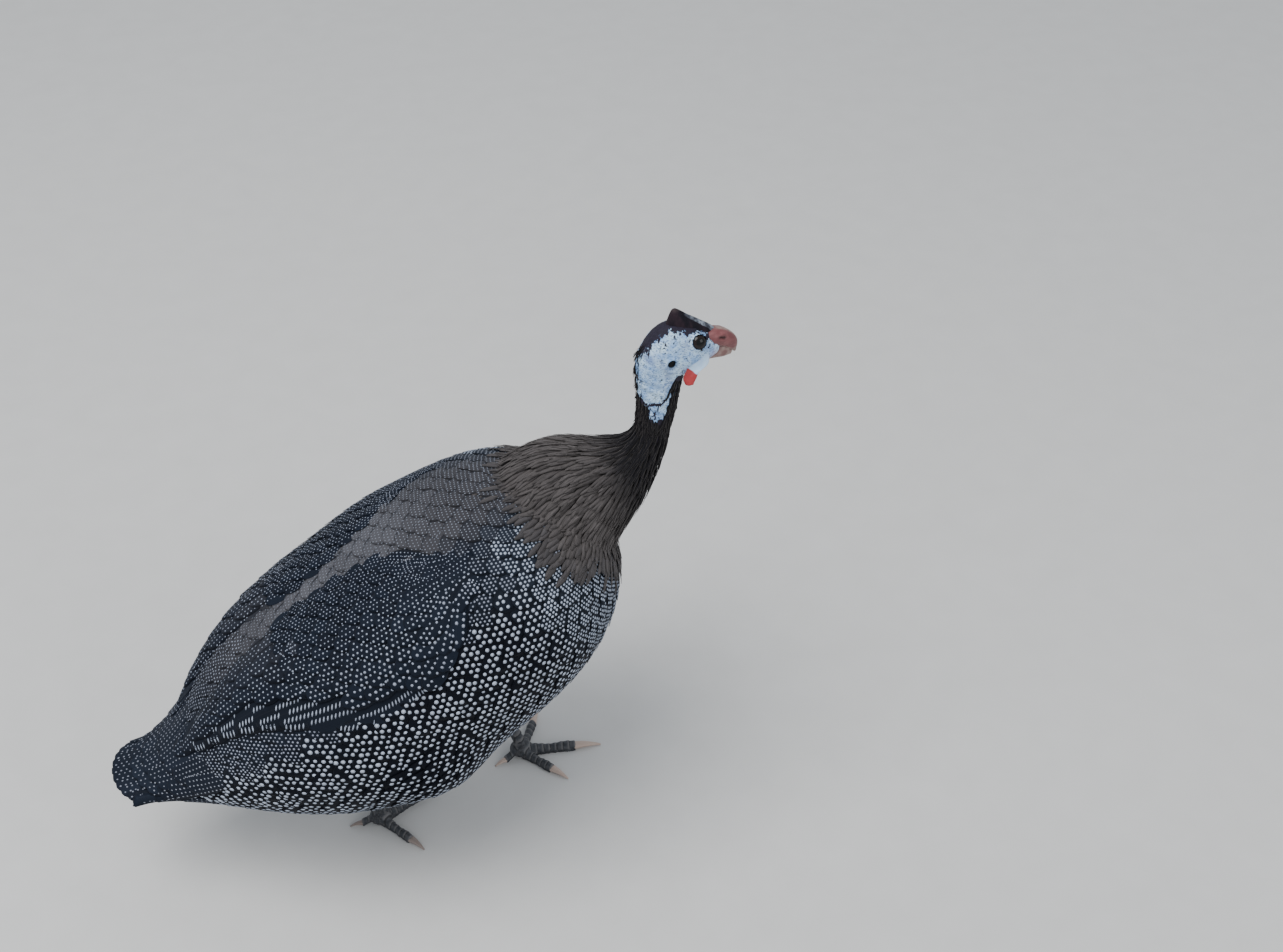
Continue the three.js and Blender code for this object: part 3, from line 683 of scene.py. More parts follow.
def white_spots(name, plumes, which, u, v, across, length, unwrap, tint, slant):
    """Round or long white marks on the feathers, as low lens shaped forms. Sizes are in millimetres"""
    turn = np.linspace(0, 2 * math.pi, SPOT_CORNERS, endpoint=False)
    slant = slant[:, None]
    along_u = np.cos(turn) * across[:, None] / 2
    along_v = np.sin(turn) * length[:, None] / 2
    dx = along_u * np.cos(slant) - along_v * np.sin(slant)
    dv = (along_u * np.sin(slant) + along_v * np.cos(slant)) / plumes.length[which][:, None]
    rim_v = np.clip(v[:, None] + dv, 0.02, 0.99)
    rim_u = ((u * plumes.reach(which, v))[:, None] + dx) / plumes.reach(which[:, None], rim_v)
    rim = plumes.at(which[:, None], np.clip(rim_u, -0.99, 0.99), rim_v)
    middle = plumes.at(which, u, v)
    span = rim - middle[:, None]
    up = unit(np.cross(span, np.roll(span, -1, 1)).sum(1))
    normal = plumes.normal[which, plumes.rows // 2, plumes.columns // 2]
    up = up * np.sign((up * normal).sum(-1, keepdims=True))
    peaks = np.stack([middle + up * SPOT_RISE, middle - up * SPOT_DEPTH], 1)
    verts = np.concatenate([rim + up[:, None] * SPOT_RIM, peaks], 1)
    order = np.sign((np.cross(span[:, 0], span[:, 1]) * up).sum(-1)) > 0
    ring = np.arange(SPOT_CORNERS)
    after = (ring + 1) % SPOT_CORNERS
    top = np.stack([ring, after, np.full_like(ring, SPOT_CORNERS)], -1)
    bottom = np.stack([after, ring, np.full_like(ring, SPOT_CORNERS + 1)], -1)
    face = np.concatenate([top, bottom])
    count, per = len(u), SPOT_CORNERS + 2
    first = (np.arange(count) * per)[:, None, None]
    faces = np.where(order[:, None, None], face[None], face[None, :, ::-1]) + first
    local = np.concatenate([np.stack([np.cos(turn), np.sin(turn)], -1), [[0, 0], [0, 0]]])
    shifted = unwrap[which] + np.stack([u * 0.001, v * 0.002], -1)
    patch = shifted[:, None] + local[None] * UNWRAP_PATCH / 2
    return mesh_from_arrays(
        name,
        verts.reshape(-1, 3),
        np.zeros((0, 4), int),
        faces.reshape(-1, 3),
        patch.reshape(-1, 2),
        np.tile(local, (count, 1)),
        np.repeat(tint[which], per, 0),
        np.tile(np.arange(2 * SPOT_CORNERS) < SPOT_CORNERS, count),
    )


def strides(surface, p, angle, length, rows, drift):
    """Middle lines that run back over a surface from their roots, drifting to one side by an angle"""
    v = PLUME_ROWS[rows]
    lines_p, lines_q = [p], [angle]
    for part in np.diff(v):
        _, lengthwise, roundwise = facing(surface, lines_p[-1], lines_q[-1])
        lines_p.append(lines_p[-1] - np.cos(drift) * length * part / np.linalg.norm(lengthwise, axis=-1))
        lines_q.append(lines_q[-1] + np.sin(drift) * length * part / np.linalg.norm(roundwise, axis=-1))
    return np.stack(lines_p, 1), np.stack(lines_q, 1)


WING = {"from": 92, "to": -150, "thick": 5.0, "edge": 0.2}
WING_UPPER = [30, 13, 7, 6, 8, 13, 20]  # degrees from the back's middle, from shoulder to wing tip
WING_LOWER = [44, 66, 68, 58, 47, 39, 32]
chance = np.random.default_rng(20)
COLUMNS = 36
ROW_PITCH = 8.0
OVERLAP = 1.45  # a feather is this much wider than its column
FOREMOST = 171.5  # roots stay behind the body's front point
rows_s = [171.0]
while rows_s[-1] > -172:
    stretch = np.linalg.norm(facing(body_surface, np.array(rows_s[-1] - 1), np.array(math.pi / 2))[1])
    rows_s.append(rows_s[-1] - ROW_PITCH / stretch)
roots = []
for i, s in enumerate(rows_s):
    for j in range(COLUMNS):
        turn = 2 * math.pi * (j + 0.5 * (i % 2) + 0.5) / COLUMNS - math.pi
        roots.append((s + chance.normal(0, 0.25), turn + chance.normal(0, 0.002), i, j))
root_s, root_q, root_row, root_column = np.array(roots).T
root_s = np.minimum(root_s, FOREMOST)
pitch = np.linalg.norm(facing(body_surface, root_s, root_q)[2], axis=-1) * 2 * math.pi / COLUMNS
length = 34 * np.clip(pitch / 15, 0.35, 1) + chance.normal(0, 0.8, len(root_s))
p, q = strides(body_surface, root_s, root_q, length, 8, chance.normal(0, 0.02, len(root_s)))


def from_back(angle):
    """Degrees round the body from the middle of the back"""
    return np.degrees(np.abs((angle + math.pi) % (2 * math.pi) - math.pi))


between_wings = (1 - step(12, 30, from_back(q))) * step(-150, -110, p) * step(95, 60, p)
fluff = 8 * hill(p + 22, 34) * hill(from_back(q) - 122, 22)  # the loose feathers of the belly
lift = -1.9 + 1.9 * PLUME_ROWS[8] ** 1.2 + chance.normal(0, 0.05, (len(root_s), 1)) + fluff
lift = lift + 1.6 * between_wings + 0.3 * (root_column % 2)[:, None]
body_plumes = Plumes(body_surface, p, q, pitch * OVERLAP, lift, camber=0.02, thick=0.2)
s_tip, deg_tip = p[:, -2], from_back(q[:, -2])
a_tip = (WING["from"] - s_tip) / (WING["from"] - WING["to"])
inside = (deg_tip > along(WING_UPPER, a_tip) + 6) & (deg_tip < along(WING_LOWER, a_tip) - 14)
under_wing = inside & (a_tip > 0.07) & (a_tip < 0.86)


def in_neck(tips, reach):
    """Whether tips lie inside the neck's root: reach is its radius in millimetres, from the body upwards"""
    low, high = neck_surface.path[0], neck_surface.path[2]
    bone = high - low
    near_t = np.clip(((tips - low) @ bone) / (bone @ bone), 0, 1.3)
    from_line = np.linalg.norm(tips - low - near_t[:, None] * bone, axis=1)
    return (from_line < along(reach, near_t / 1.3)) & (near_t > 0.05)


collar_edge = step(136, 156, s_tip - 16 * step(60, 110, deg_tip))
kept = ~under_wing & ~in_neck(body_plumes.grid[:, -2, 2], [50, 46, 40, 28]) & (collar_edge < 0.6)
body_plumes.keep(kept)
s_tip, deg_tip, collar_edge = s_tip[kept], deg_tip[kept], collar_edge[kept]
root_row = root_row[kept].astype(int)


def shade(base, spread, count, seed):
    """Feathers of one colour, some a little lighter or darker"""
    change = np.random.default_rng(seed).normal(1, spread, (count, 1))
    return np.clip(np.asarray(base) * change, 0.002, 1)


def blend(first, second, part):
    """From one colour to another, by a part from 0 to 1 for each feather"""
    return first + (second - first) * part[:, None]


belly_side = step(52, 68, deg_tip)
front = step(85, 140, s_tip)
slate = np.array([0.013, 0.018, 0.029])
night_blue = np.array([0.0035, 0.005, 0.009])
dusk = np.array([0.030, 0.040, 0.056])
# The collar's own brown grey, painted a little lighter for the sun on it
brown = np.array([0.105, 0.094, 0.092])
# Painted light: the back's slate made paler where the sky lights the top of the body
skylit_grey = np.array([0.062, 0.061, 0.068])
# Painted sheen: a pale grey standing in for the sky's reflection on the back's feathers
sheen_grey = np.array([0.125, 0.125, 0.14])
# Painted sky light: the top of the back, from the rump forwards, takes that paler grey
skylit_back = (1 - step(18, 34, deg_tip)) * step(-150, -40, s_tip)
# Painted sheen: a soft band along the top of the back, where the sky glances off the feathers
sheen = (1 - step(4, 30, deg_tip)) * step(-120, 0, s_tip) * (1 - step(40, 110, s_tip)) * 0.85
tint = blend(blend(slate, night_blue, belly_side), dusk, 0.6 * front)
tint = blend(blend(blend(tint, skylit_grey, skylit_back), sheen_grey, sheen), brown, collar_edge)
tint = shade(tint, 0.06, len(tint), 3)


def body_unwrap(s, angle):
    return np.stack([(angle / (2 * math.pi)) % 1 * 0.98 + 0.01, (s + 260) / 450], -1)


body_map = body_unwrap(*body_plumes.place)
plumage = Finish(
    "plumage", Specular_IOR_Level=0.06, Sheen_Weight=0.03, Sheen_Roughness=0.4, Sheen_Tint=(0.7, 0.75, 0.95, 1)
)
barb_map = plumage.node("ShaderNodeUVMap", {"uv_map": "Barbs"})
from_shaft = plumage.node("ShaderNodeSeparateXYZ", None, {0: barb_map}).math("ABSOLUTE")
lengthwise = plumage.node("ShaderNodeSeparateXYZ", None, {0: barb_map}, output=1)
barb = ((lengthwise - from_shaft * 0.8) * 9.0).math("SINE") * 0.5 + 0.5
shaft = 1 - from_shaft.between(0.12, 0.3)
streak = plumage.noise(plumage.place(), 900, 2)
tone = plumage.attribute("tint", "Color")
darker = plumage.mix(barb * 0.35 + streak * 0.3, tone, (0.004, 0.004, 0.006))
plumage.feed(
    Base_Color=plumage.mix(shaft * 0.10, darker, (0.05, 0.048, 0.055)),
    Roughness=0.55 + streak * 0.2,
    Normal=plumage.bump(barb * 0.5 + shaft + streak * 0.4, 0.35, 0.0003),
)
body_coat = body_plumes.piece("body_feathers", tint, body_map)
dress(body_coat, plumage, slot="plumage")

pearl = Finish("pearl_spots", Roughness=0.6, Specular_IOR_Level=0.2)
fleck = pearl.noise(pearl.place(), 1500, 2)
pearl_tone = pearl.attribute("tint", "Color")
pearl.feed(
    Base_Color=pearl.mix(fleck * 0.35, pearl_tone, (0.30, 0.31, 0.36)),
    Normal=pearl.bump(fleck, 0.2, 0.0002),
)


# Collar and neck
# Soft hair-like feathers without spots: a brown-grey cape at the shoulders, then short black ones on the neck
# that thin out to bristles along the nape. They lie on the skin and point down the neck.
def rows_round(surface, places, apart, least, side=1.57):
    """Roots in rows round a surface, each row half a step on from the last: places along and round it"""
    for i, p in enumerate(places):
        size = np.linalg.norm(facing(surface, np.array(max(p, 1.0)), np.array(side))[2])
        count = max(least, round(2 * math.pi * size / apart))
        yield np.stack([np.full(count, p), 2 * math.pi * (np.arange(count) + 0.5 * (i % 2)) / count])


def neck_roots(first, last, row, across_mm, seed):
    """Roots in uneven rows down the neck, with their places round it"""
    pick = np.random.default_rng(seed)
    found = []
    for p, turn in rows_round(neck_surface, np.arange(first, last, -row), across_mm, 8):
        count = len(p)
        p = p + pick.normal(0, row / 5, count)
        found.append(np.stack([p, turn - math.pi + pick.normal(0, 0.25 / count, count)]))
    return np.concatenate(found, 1)


def neck_map(plumes):
    return body_unwrap(plumes.place[0] + 60, plumes.place[1])


soot = np.array([0.006, 0.006, 0.009])
hair = PLUME_ROWS[5]
hair_form = {"columns": 3, "on_skin": True}
cape_p, cape_q = neck_roots(98, -22, 3.4, 3.1, 31)
fine = step(30, 95, cape_p)
cape_length = 27 - 12 * fine + chance.normal(0, 1.5, len(cape_p))
p, q = strides(neck_surface, cape_p, cape_q, cape_length, 5, chance.normal(0, 0.12, len(cape_p)))
depth = neck_depth(cape_p / neck_surface.length) * 0.8
lift = depth[:, None] * hair**0.45 + (0.3 + 0.4 * hair) + chance.normal(0, 0.12, (len(p), 1))
cape = Plumes(neck_surface, p, q, 4.2 - 1.8 * fine, lift, tip=0.3, camber=0.05, thick=0.15, **hair_form)
cape.keep(cape.far < 8.5)
cape_fine = step(48, 82, cape.place[0] - 12 * np.cos(cape.place[1]))
cape_tint = shade(blend(brown, soot, cape_fine), 0.16, cape.count, 8)
cape_coat = cape.piece("collar_feathers", cape_tint, neck_map(cape))

collar = Finish(
    "collar_feathers", Roughness=0.75, Specular_IOR_Level=0.1, Sheen_Weight=0.12, Sheen_Roughness=0.5,
    Sheen_Tint=(0.9, 0.8, 0.75, 1),
)
barb_map = collar.node("ShaderNodeUVMap", {"uv_map": "Barbs"})
fibres = collar.node("ShaderNodeMapping", None, {"Vector": barb_map, "Scale": (2.2, 0.12, 1)})
strands = collar.noise(fibres, 1.6, 3)
tone = collar.attribute("tint", "Color")
collar.feed(
    Base_Color=collar.mix(strands.between(0.35, 0.7), collar.mix(0.55, tone, (0.004, 0.004, 0.004)), tone),
    Normal=collar.bump(strands, 0.6, 0.0004),
)
dress(cape_coat, collar, slot="collar_feathers")

down_p, down_q = neck_roots(150, 70, 2.3, 2.6, 33)
down_length = chance.normal(9, 0.8, len(down_p))
p, q = strides(neck_surface, down_p, down_q, down_length, 5, chance.normal(0, 0.15, len(down_p)))
lift = 0.05 + 0.9 * hair + chance.normal(0, 0.1, (len(p), 1))
down = Plumes(neck_surface, p, q, np.full(len(p), 1.9), lift, tip=0.4, root=0.6, thick=0.2, **hair_form)


def bareness(points):
    """How far inside the bare skin places are, in millimetres"""
    nearest = [skin_tree.find_nearest(Vector(spot) * MM)[2] for spot in points]
    return np.array([bare[list(skin_faces[found])].mean() for found in nearest])


most_bare = np.maximum(bareness(down.grid[:, 0, 1]), bareness(down.grid[:, 3, 1]))
down.keep((most_bare < 0.3) & (down.far < 6))
down_coat = down.piece("neck_feathers", shade(soot, 0.2, down.count, 9), neck_map(down))
dress(down_coat, collar, slot="collar_feathers")

BRISTLES = 260
nape_p = chance.uniform(104, 171, BRISTLES)
nape_q = chance.normal(0, 0.10 + 0.25 * step(135, 110, nape_p))
nape_length = chance.normal(7, 1.5, BRISTLES)
p, q = strides(neck_surface, nape_p, nape_q, nape_length, 5, chance.normal(0, 0.3, BRISTLES))
lift = -0.1 + 1.6 * hair**1.3 * chance.uniform(0.3, 1.3, (BRISTLES, 1))
bristles = Plumes(neck_surface, p, q, np.full(BRISTLES, 0.5), lift, tip=0.3, root=0.8, thick=0.2, **hair_form)
up_neck = bristles.place[0]
in_tufts = (np.sin(up_neck * 0.55) + np.sin(up_neck * 1.7) > 0.1) | (up_neck < 130)
bristles.keep((bristles.far < 6) & in_tufts)
bristle_tint = shade((0.006, 0.005, 0.008), 0.2, bristles.count, 10)
bristle_coat = bristles.piece("nape_bristles", bristle_tint, neck_map(bristles))
dress(bristle_coat, collar, slot="collar_feathers")

fringe_rows = rows_round(body_surface, np.arange(171, 108, -3.2), 3.4, 12, math.pi / 2)
fringe_s, fringe_q = np.concatenate(list(fringe_rows), 1)
fringe_s = np.minimum(fringe_s + chance.normal(0, 0.8, len(fringe_s)), FOREMOST)
fringe_length = chance.normal(14, 1.5, len(fringe_s))
drift = chance.normal(0, 0.12, len(fringe_s))
p, q = strides(body_surface, fringe_s, fringe_q - math.pi, fringe_length, 5, drift)
lift = -0.4 + 1.3 * hair**0.6 + chance.normal(0, 0.12, (len(p), 1))
fringe = Plumes(body_surface, p, q, np.full(len(p), 4.4), lift, columns=3, tip=0.3, camber=0.05, thick=0.15)
edge = p[:, -2] - 16 * step(60, 110, from_back(q[:, -2])) + chance.normal(0, 3, len(p))
kept = ~in_neck(fringe.grid[:, -2, 1], [46, 42, 36, 24]) & (edge > 138)
fringe.keep(kept)
# The rear rows go over to the back's paler grey, which is painted sky light
fringe_tint = shade(blend(brown, skylit_grey, step(154, 136, edge[kept]) * 0.6), 0.12, fringe.count, 11)
fringe_coat = fringe.piece("collar_fringe", fringe_tint, body_unwrap(*fringe.place))
dress(fringe_coat, collar, slot="collar_feathers")

# Thigh feathers
# Short rounded feathers round each thigh, dark with small white spots. They grow from its skin and point down
# to the bare shank.
thighs = {}
for side_name, surface in thigh_surface.items():
    rows = rows_round(surface, np.arange(surface.length * 0.98, 5, -6.5), 8.5, 7)
    p0, q0 = np.concatenate(list(rows), 1)
    size = np.linalg.norm(facing(surface, p0, q0)[2], axis=-1)
    p, q = strides(surface, p0, q0, np.clip(size * 1.2, 19, 25), 8, chance.normal(0, 0.08, len(p0)))
    lift = -2.0 + 2.6 * PLUME_ROWS[8] + chance.normal(0, 0.15, (len(p0), 1))
    width = np.clip(size * 0.62, 6.5, 12.5)
    coat = Plumes(surface, np.clip(p, -13, None), q, width, lift, camber=0.03, thick=0.2)
    thigh_map = np.stack([(q0 / (2 * math.pi)) % 1 * 0.9 + 0.05, p0 / surface.length * 0.9 + 0.05], -1)
    tints = shade(night_blue * 1.4, 0.15, coat.count, 12)
    dress(coat.piece(f"thigh_feathers_{side_name}", tints, thigh_map), plumage, slot="plumage")
    thighs[side_name] = (coat, thigh_map, p0 / surface.length)

# Wings
# Folded on the sides. From below to above: primaries, secondaries with slanted bars, one row of greater
# coverts, long scapulars over the upper edge, and small coverts from the shoulder back.
def wing_place(a, b):
    """A place on the folded wing: a from shoulder to tip, b from -1 at its upper edge to 1 at its lower"""
    part = (np.asarray(b) + 1) / 2
    upper, lower = along(WING_UPPER, a), along(WING_LOWER, a)
    return WING["from"] + (WING["to"] - WING["from"]) * a, np.radians(upper + (lower - upper) * part)


def wing_surface(s, angle):
    a = np.clip((WING["from"] - s) / (WING["from"] - WING["to"]), 0, 1)
    upper, lower = along(WING_UPPER, a), along(WING_LOWER, a)
    b = np.clip(2 * (np.degrees(np.abs(angle)) - upper) / (lower - upper) - 1, -1, 1)
    full = np.sin(math.pi * a) ** 0.5 * step(-0.05, 0.3, a) * np.clip(1 - b**2, 0, 1) ** 0.6
    lift = WING["edge"] + (WING["thick"] - WING["edge"]) * full
    return body_surface(s, angle) + facing(body_surface, s, angle)[0] * lift[..., None]


wing_coats = []
wing_blue = np.array([0.011, 0.016, 0.027])


def wing_tier(kind, side_name, roots, tips, width, rise, rows=14, tint=wing_blue, **form):
    """One tier of a folded wing: straight middle lines from the roots to the tips, each given as (a, b)"""
    sign = 1 if side_name == "left" else -1
    v = PLUME_ROWS[rows]
    a = roots[:, :1] + (tips[:, :1] - roots[:, :1]) * v
    b = roots[:, 1:] + (tips[:, 1:] - roots[:, 1:]) * v
    s, angle = wing_place(np.clip(a, 0, 1), b)
    s = s + (np.clip(a, 0, 1) - a) * (WING["from"] - WING["to"])
    lift = rise[:, :1] + (rise[:, 1:] - rise[:, :1]) * v**0.8
    form["roll"] = form.get("roll", 0) * sign
    coat = Plumes(wing_surface, s, sign * angle, np.full(len(roots), float(width)), lift, **form)
    flat = np.stack([roots[:, 0] * 0.8 + 0.1, roots[:, 1] * 0.35 + 0.5], -1)
    tints = shade(tint, 0.1, len(roots), 17)
    # Painted sky light: scapulars next to the back take its paler grey
    if kind == "scapulars":
        tints = blend(tints, skylit_grey, step(0.1, -1, roots[:, 1]) * step(0.7, 0.3, roots[:, 0]) * 0.6)
    nodes = [f"wing_{side_name}"] if kind == "secondaries" else []
    dress(coat.piece(f"{kind}_{side_name}", tints, flat), plumage, *nodes, slot="plumage")
    wing_coats.append((kind, side_name, coat, roots, flat))


def fan(count, start, run):
    """Even steps from start on, by run in all"""
    return start + np.linspace(0, 1, count)[:, None] * run


for side_name in ("right", "left"):
    lucky = np.random.default_rng(41)
    wing_tier(
        "primaries", side_name,
        fan(4, (0.50, 0.62), (0.05, -0.5)), fan(4, (0.88, 0.86), (0.12, -0.75)), 15,
        fan(4, (-1.5, -0.3), (0.5, 0.5)),
        tint=slate * 0.9, roll=-0.3,
    )
    wing_tier(
        "secondaries", side_name,
        fan(8, (0.05, 0.70), (0.45, -0.85)), fan(8, (0.52, 1.02), (0.44, -0.68)), 21,
        fan(8, (-2.6, 0), (0.8, 1.6)),
        tint=slate * 0.85, roll=-0.45, camber=0.05, tip=0.86, root=0.7,
    )
    wing_tier(
        "greater_coverts", side_name,
        fan(7, (0.02, 0.42), (0.42, -0.6)), fan(7, (0.27, 0.62), (0.4, -0.44)), 21,
        fan(7, (-2.4, 1.2), (0.6, 1)),
        roll=-0.4, camber=0.06, tip=0.75, root=0.7,
    )
    found = []
    for a in np.arange(0.80, 0.28, -0.062):
        for b in np.arange(-0.98, 0.12 - 0.4 * a, 0.27):
            shifted = a + 0.031 * (round((b + 1) / 0.27) % 2)
            found.append((shifted + lucky.normal(0, 0.004), b + lucky.normal(0, 0.02)))
    roots = np.array(sorted(found, key=lambda place: -place[0]))
    rise = (-1.0, 2.3) - 1.4 * step(-0.6, -1, roots[:, 1:]) + lucky.normal(0, 0.15, (len(roots), 1))
    wing_tier(
        "scapulars", side_name, roots, roots + (0.215, 0.06), 21, rise,
        tint=wing_blue * 1.1, camber=0.03, thick=0.2, tip=0.6,
    )
    found = []
    for i, a in enumerate(np.arange(0.44, -0.10, -0.034)):
        for b in np.arange(-1.0, 1.02 - 1.5 * max(a, 0), 0.25):
            found.append((a + lucky.normal(0, 0.003), b + 0.125 * (i % 2) + lucky.normal(0, 0.02)))
    roots = np.array(found)
    rise = (-0.6, 2.3) - (0.2, 2.0) * step(0.12, -0.08, roots[:, :1]) + lucky.normal(0, 0.06, (len(roots), 1))
    wing_tier(
        "small_coverts", side_name, roots, roots + (0.118, 0.04), 15.5, rise,
        rows=8, camber=0.03, thick=0.2, tip=0.58,
    )

# Tail
# Thirteen stiff tail feathers droop in a flat arch from the rump, with three rows of coverts over their roots
# and three rows under them. All are slate grey with small dim spots.
tail_found = []
for s_from, s_to, spread_deg, count, width, rise in (
    (-168, -215, 78, 13, 19, (-1.5, 0.2)),
    (-158, -203, 66, 9, 21, (-1.0, 1.4)),
    (-146, -194, 62, 9, 22, (-0.6, 2.4)),
    (-130, -178, 60, 9, 22, (-0.6, 2.6)),
):
    for one in np.linspace(-1, 1, count):
        turn = math.radians(spread_deg * one)
        tail_found.append((s_from, s_to + 15 * one * one, turn, width, *rise, 0.25 * abs(one)))
for s_from, s_to, count, width in ((-168, -214, 8, 18), (-152, -200, 8, 19), (-138, -184, 8, 20)):
    for one in np.linspace(-1, 1, count):
        turn = math.pi + math.radians(78 * one)
        tail_found.append((s_from, s_to + 6 * one * one, turn, width, -1, 0.8, 0))
start, end, turn, width, low, high, droop = np.array(tail_found).T[..., None]
v = PLUME_ROWS[14]
s = start + (end - start) * v
q = np.tile(turn, (1, len(v)))
lift = low + (high - low) * v**0.8 - droop
tail = Plumes(body_surface, s, q, width[:, 0], lift, camber=0.05, tip=0.8, root=0.7)
tail_map = body_unwrap(start[:, 0], turn[:, 0] + 0.01 * np.arange(tail.count) % 0.3)
tail_tint = shade(slate * 1.2, 0.1, tail.count, 21)
tail_coat = tail.piece("tail_feathers", tail_tint, tail_map)
dress(tail_coat, plumage, "tail", slot="plumage")

# White spots
# Each dark feather carries round white spots, and the secondaries slanted bars. They are large on flank and
# belly, small on wings and rump, fine as dust on the mantle. Only those that no other feather covers are made.
KINDS = ("primaries", "secondaries", "greater", "scapulars", "small", "thigh")
covering = [body_coat, cape_coat, tail_coat] + [o for o in scene.objects if o.name.split("_")[0] in KINDS]
cover_verts, cover_faces, first = [], [], 0
for piece in covering:
    points = np.zeros(len(piece.data.vertices) * 3)
    piece.data.vertices.foreach_get("co", points)
    cover_verts.append(points.reshape(-1, 3))
    corners = np.zeros(len(piece.data.loops), int)
    piece.data.loops.foreach_get("vertex_index", corners)
    starts = np.zeros(len(piece.data.polygons), int)
    piece.data.polygons.foreach_get("loop_start", starts)
    cover_faces += [list(part + first) for part in np.split(corners, starts[1:])]
    first += len(piece.data.vertices)
cover_tree = BVHTree.FromPolygons(np.concatenate(cover_verts).tolist(), cover_faces)


def uncovered(plumes, which, u, v):
    """Which spots nothing lies over"""
    middle = plumes.at(which, u, v)
    out = plumes.normal[which, plumes.rows - 2, plumes.columns // 2]
    free = np.ones(len(which), bool)
    for i, (spot, way) in enumerate(zip(middle, out)):
        free[i] = cover_tree.ray_cast(Vector(spot + way * 0.13) * MM, Vector(way), 0.011)[0] is None
    return free


def spot_piece(name, plumes, marks, flat, colour):
    """One piece of white marks: marks are arrays of feather, u, v, size across, size along, and slant"""
    which, u, v, across_mm, along_mm, slant = (np.concatenate(values) for values in zip(*marks))
    which = which.astype(int)
    free = uncovered(plumes, which, u, v)
    middles = plumes.at(which, u, v)
    taken = KDTree(int(free.sum()))
    for i in np.nonzero(free)[0]:
        taken.insert(Vector(middles[i]), int(i))
    taken.balance()
    for i in np.nonzero(free)[0]:
        for _, other, _ in taken.find_range(Vector(middles[i]), across_mm[i] * 1.15):
            if other < i and free[other] and which[other] != which[i]:
                free[i] = False
    which, u, v, across_mm, along_mm, slant = (x[free] for x in (which, u, v, across_mm, along_mm, slant))
    tints = shade(colour, 0.08, plumes.count, 5)
    piece = white_spots(name, plumes, which, u, v, across_mm, along_mm, flat, tints, slant)
    dress(piece, pearl, slot="plumage")


SPOTTED = 0.85  # of a feather's width
WOBBLE = 0.09  # millimetres off the pattern


def columns_of_spots(plumes, chosen, spacing, diameter, first_mm, last_mm, seed):
    """Spots at an even spacing in millimetres on the chosen feathers, from first to last before their tips"""
    pick = np.random.default_rng(seed)
    marks = []
    for f in np.nonzero(chosen)[0]:
        half, long = plumes.width[f] / 2, plumes.length[f]
        gap, across_mm = (np.broadcast_to(value, plumes.count)[f] for value in (spacing, diameter))
        scale = min(1.0, half / 9)
        gap = gap * max(scale, 0.55)
        columns = max(1, round(2 * half * SPOTTED / gap))
        xs = ((np.arange(columns) + 0.5) / columns * 2 - 1) * SPOTTED * half
        for before in np.arange(first_mm, last_mm, gap):
            drop = gap * 0.5 * (np.arange(columns) % 2)
            v = 1 - (before + drop + np.abs(xs) * 0.1) / long
            u = xs / plumes.reach(f, v)
            on = np.abs(u) < 0.9
            n = int(on.sum())
            size = across_mm * max(scale, 0.5) * pick.normal(1, 0.1, n)
            off_u, off_v = pick.normal(0, WOBBLE, (2, n))
            where = (np.full(n, f), u[on] + off_u / half, v[on] + off_v / long)
            marks.append((*where, size, size * 1.05, np.zeros(n)))
    return marks


def lattice_of_spots(plumes, chosen, row_of, columns, rows, diameter, first_mm, seed):
    """Spots in a brick pattern that goes on from feather to feather: columns and rows are for each one"""
    pick = np.random.default_rng(seed)
    marks = []
    for f in np.nonzero(chosen)[0]:
        half, long = plumes.width[f] / 2, plumes.length[f]
        gap = 2 * half / OVERLAP / columns
        shifted = (row_of[f] * rows + rows - 1 - np.arange(2 * rows + 1) + columns * row_of[f]) % 2
        for i, shift in enumerate(shifted):
            x = (np.arange(columns + 3) - (columns + 2) / 2 + 0.5 * shift) * gap
            before = first_mm + i * ROW_PITCH / rows
            v = 1 - (before + 0.03 * np.abs(x)) / long
            u = x / plumes.reach(f, v)
            open_part = (np.abs(u) < 0.95 - diameter[f] * 0.25 / half) & (before > 0.4 * diameter[f])
            n = int(open_part.sum())
            size = diameter[f] * pick.normal(1, 0.08, n)
            off_u, off_v = pick.normal(0, 0.05 * gap, (2, n))
            where = (np.full(n, f), u[open_part] + off_u / half, v[open_part] + off_v / long)
            marks.append((*where, size, size * 1.04, np.zeros(n)))
    return marks


flank = (belly_side > 0.5) & (front < 0.5)
breast = (front >= 0.5) & (collar_edge < 0.35) & (deg_tip > 36)
mantled = (deg_tip < 36) & (s_tip > -70) & (collar_edge < 0.5)
rump = ~flank & ~breast & ~mantled & (collar_edge < 0.5)
small = step(50, 175, s_tip)
for kind, chosen, columns, rows, diameter, first_mm, tone_of in (
    ("flank", flank, 3, 2, 2.95 - 0.9 * small, 2.6, (0.47, 0.53, 0.64)),
    ("breast", breast, 4, 3, 2.25 - 0.5 * small, 2.0, (0.42, 0.48, 0.59)),
    ("mantle", mantled, 6, 3, 0.95 + 0.25 * step(24, 36, deg_tip), 1.5, (0.22, 0.24, 0.29)),
    ("rump", rump, 5, 3, 1.25 + 0.3 * step(30, 50, deg_tip), 1.8, (0.30, 0.33, 0.41)),
):
    marks = lattice_of_spots(body_plumes, chosen, root_row, columns, rows, diameter, first_mm, seed=51)
    spot_piece(f"body_spots_{kind}", body_plumes, marks, body_map, tone_of)
for side_name, (coat, flat, height) in thighs.items():
    marks = columns_of_spots(coat, height > 0.25, 4.2, 2.1, 2, 10, seed=52)
    spot_piece(f"thigh_spots_{side_name}", coat, marks, flat, (0.44, 0.49, 0.60))
marks = columns_of_spots(tail, np.ones(tail.count, bool), 3.6, 1.25, 2.4, 38, seed=53)
spot_piece("tail_spots", tail, marks, tail_map, (0.30, 0.32, 0.38))
REACH = {"primaries": 30, "greater_coverts": 34, "scapulars": 26, "small_coverts": 27}  # from the tip, in mm
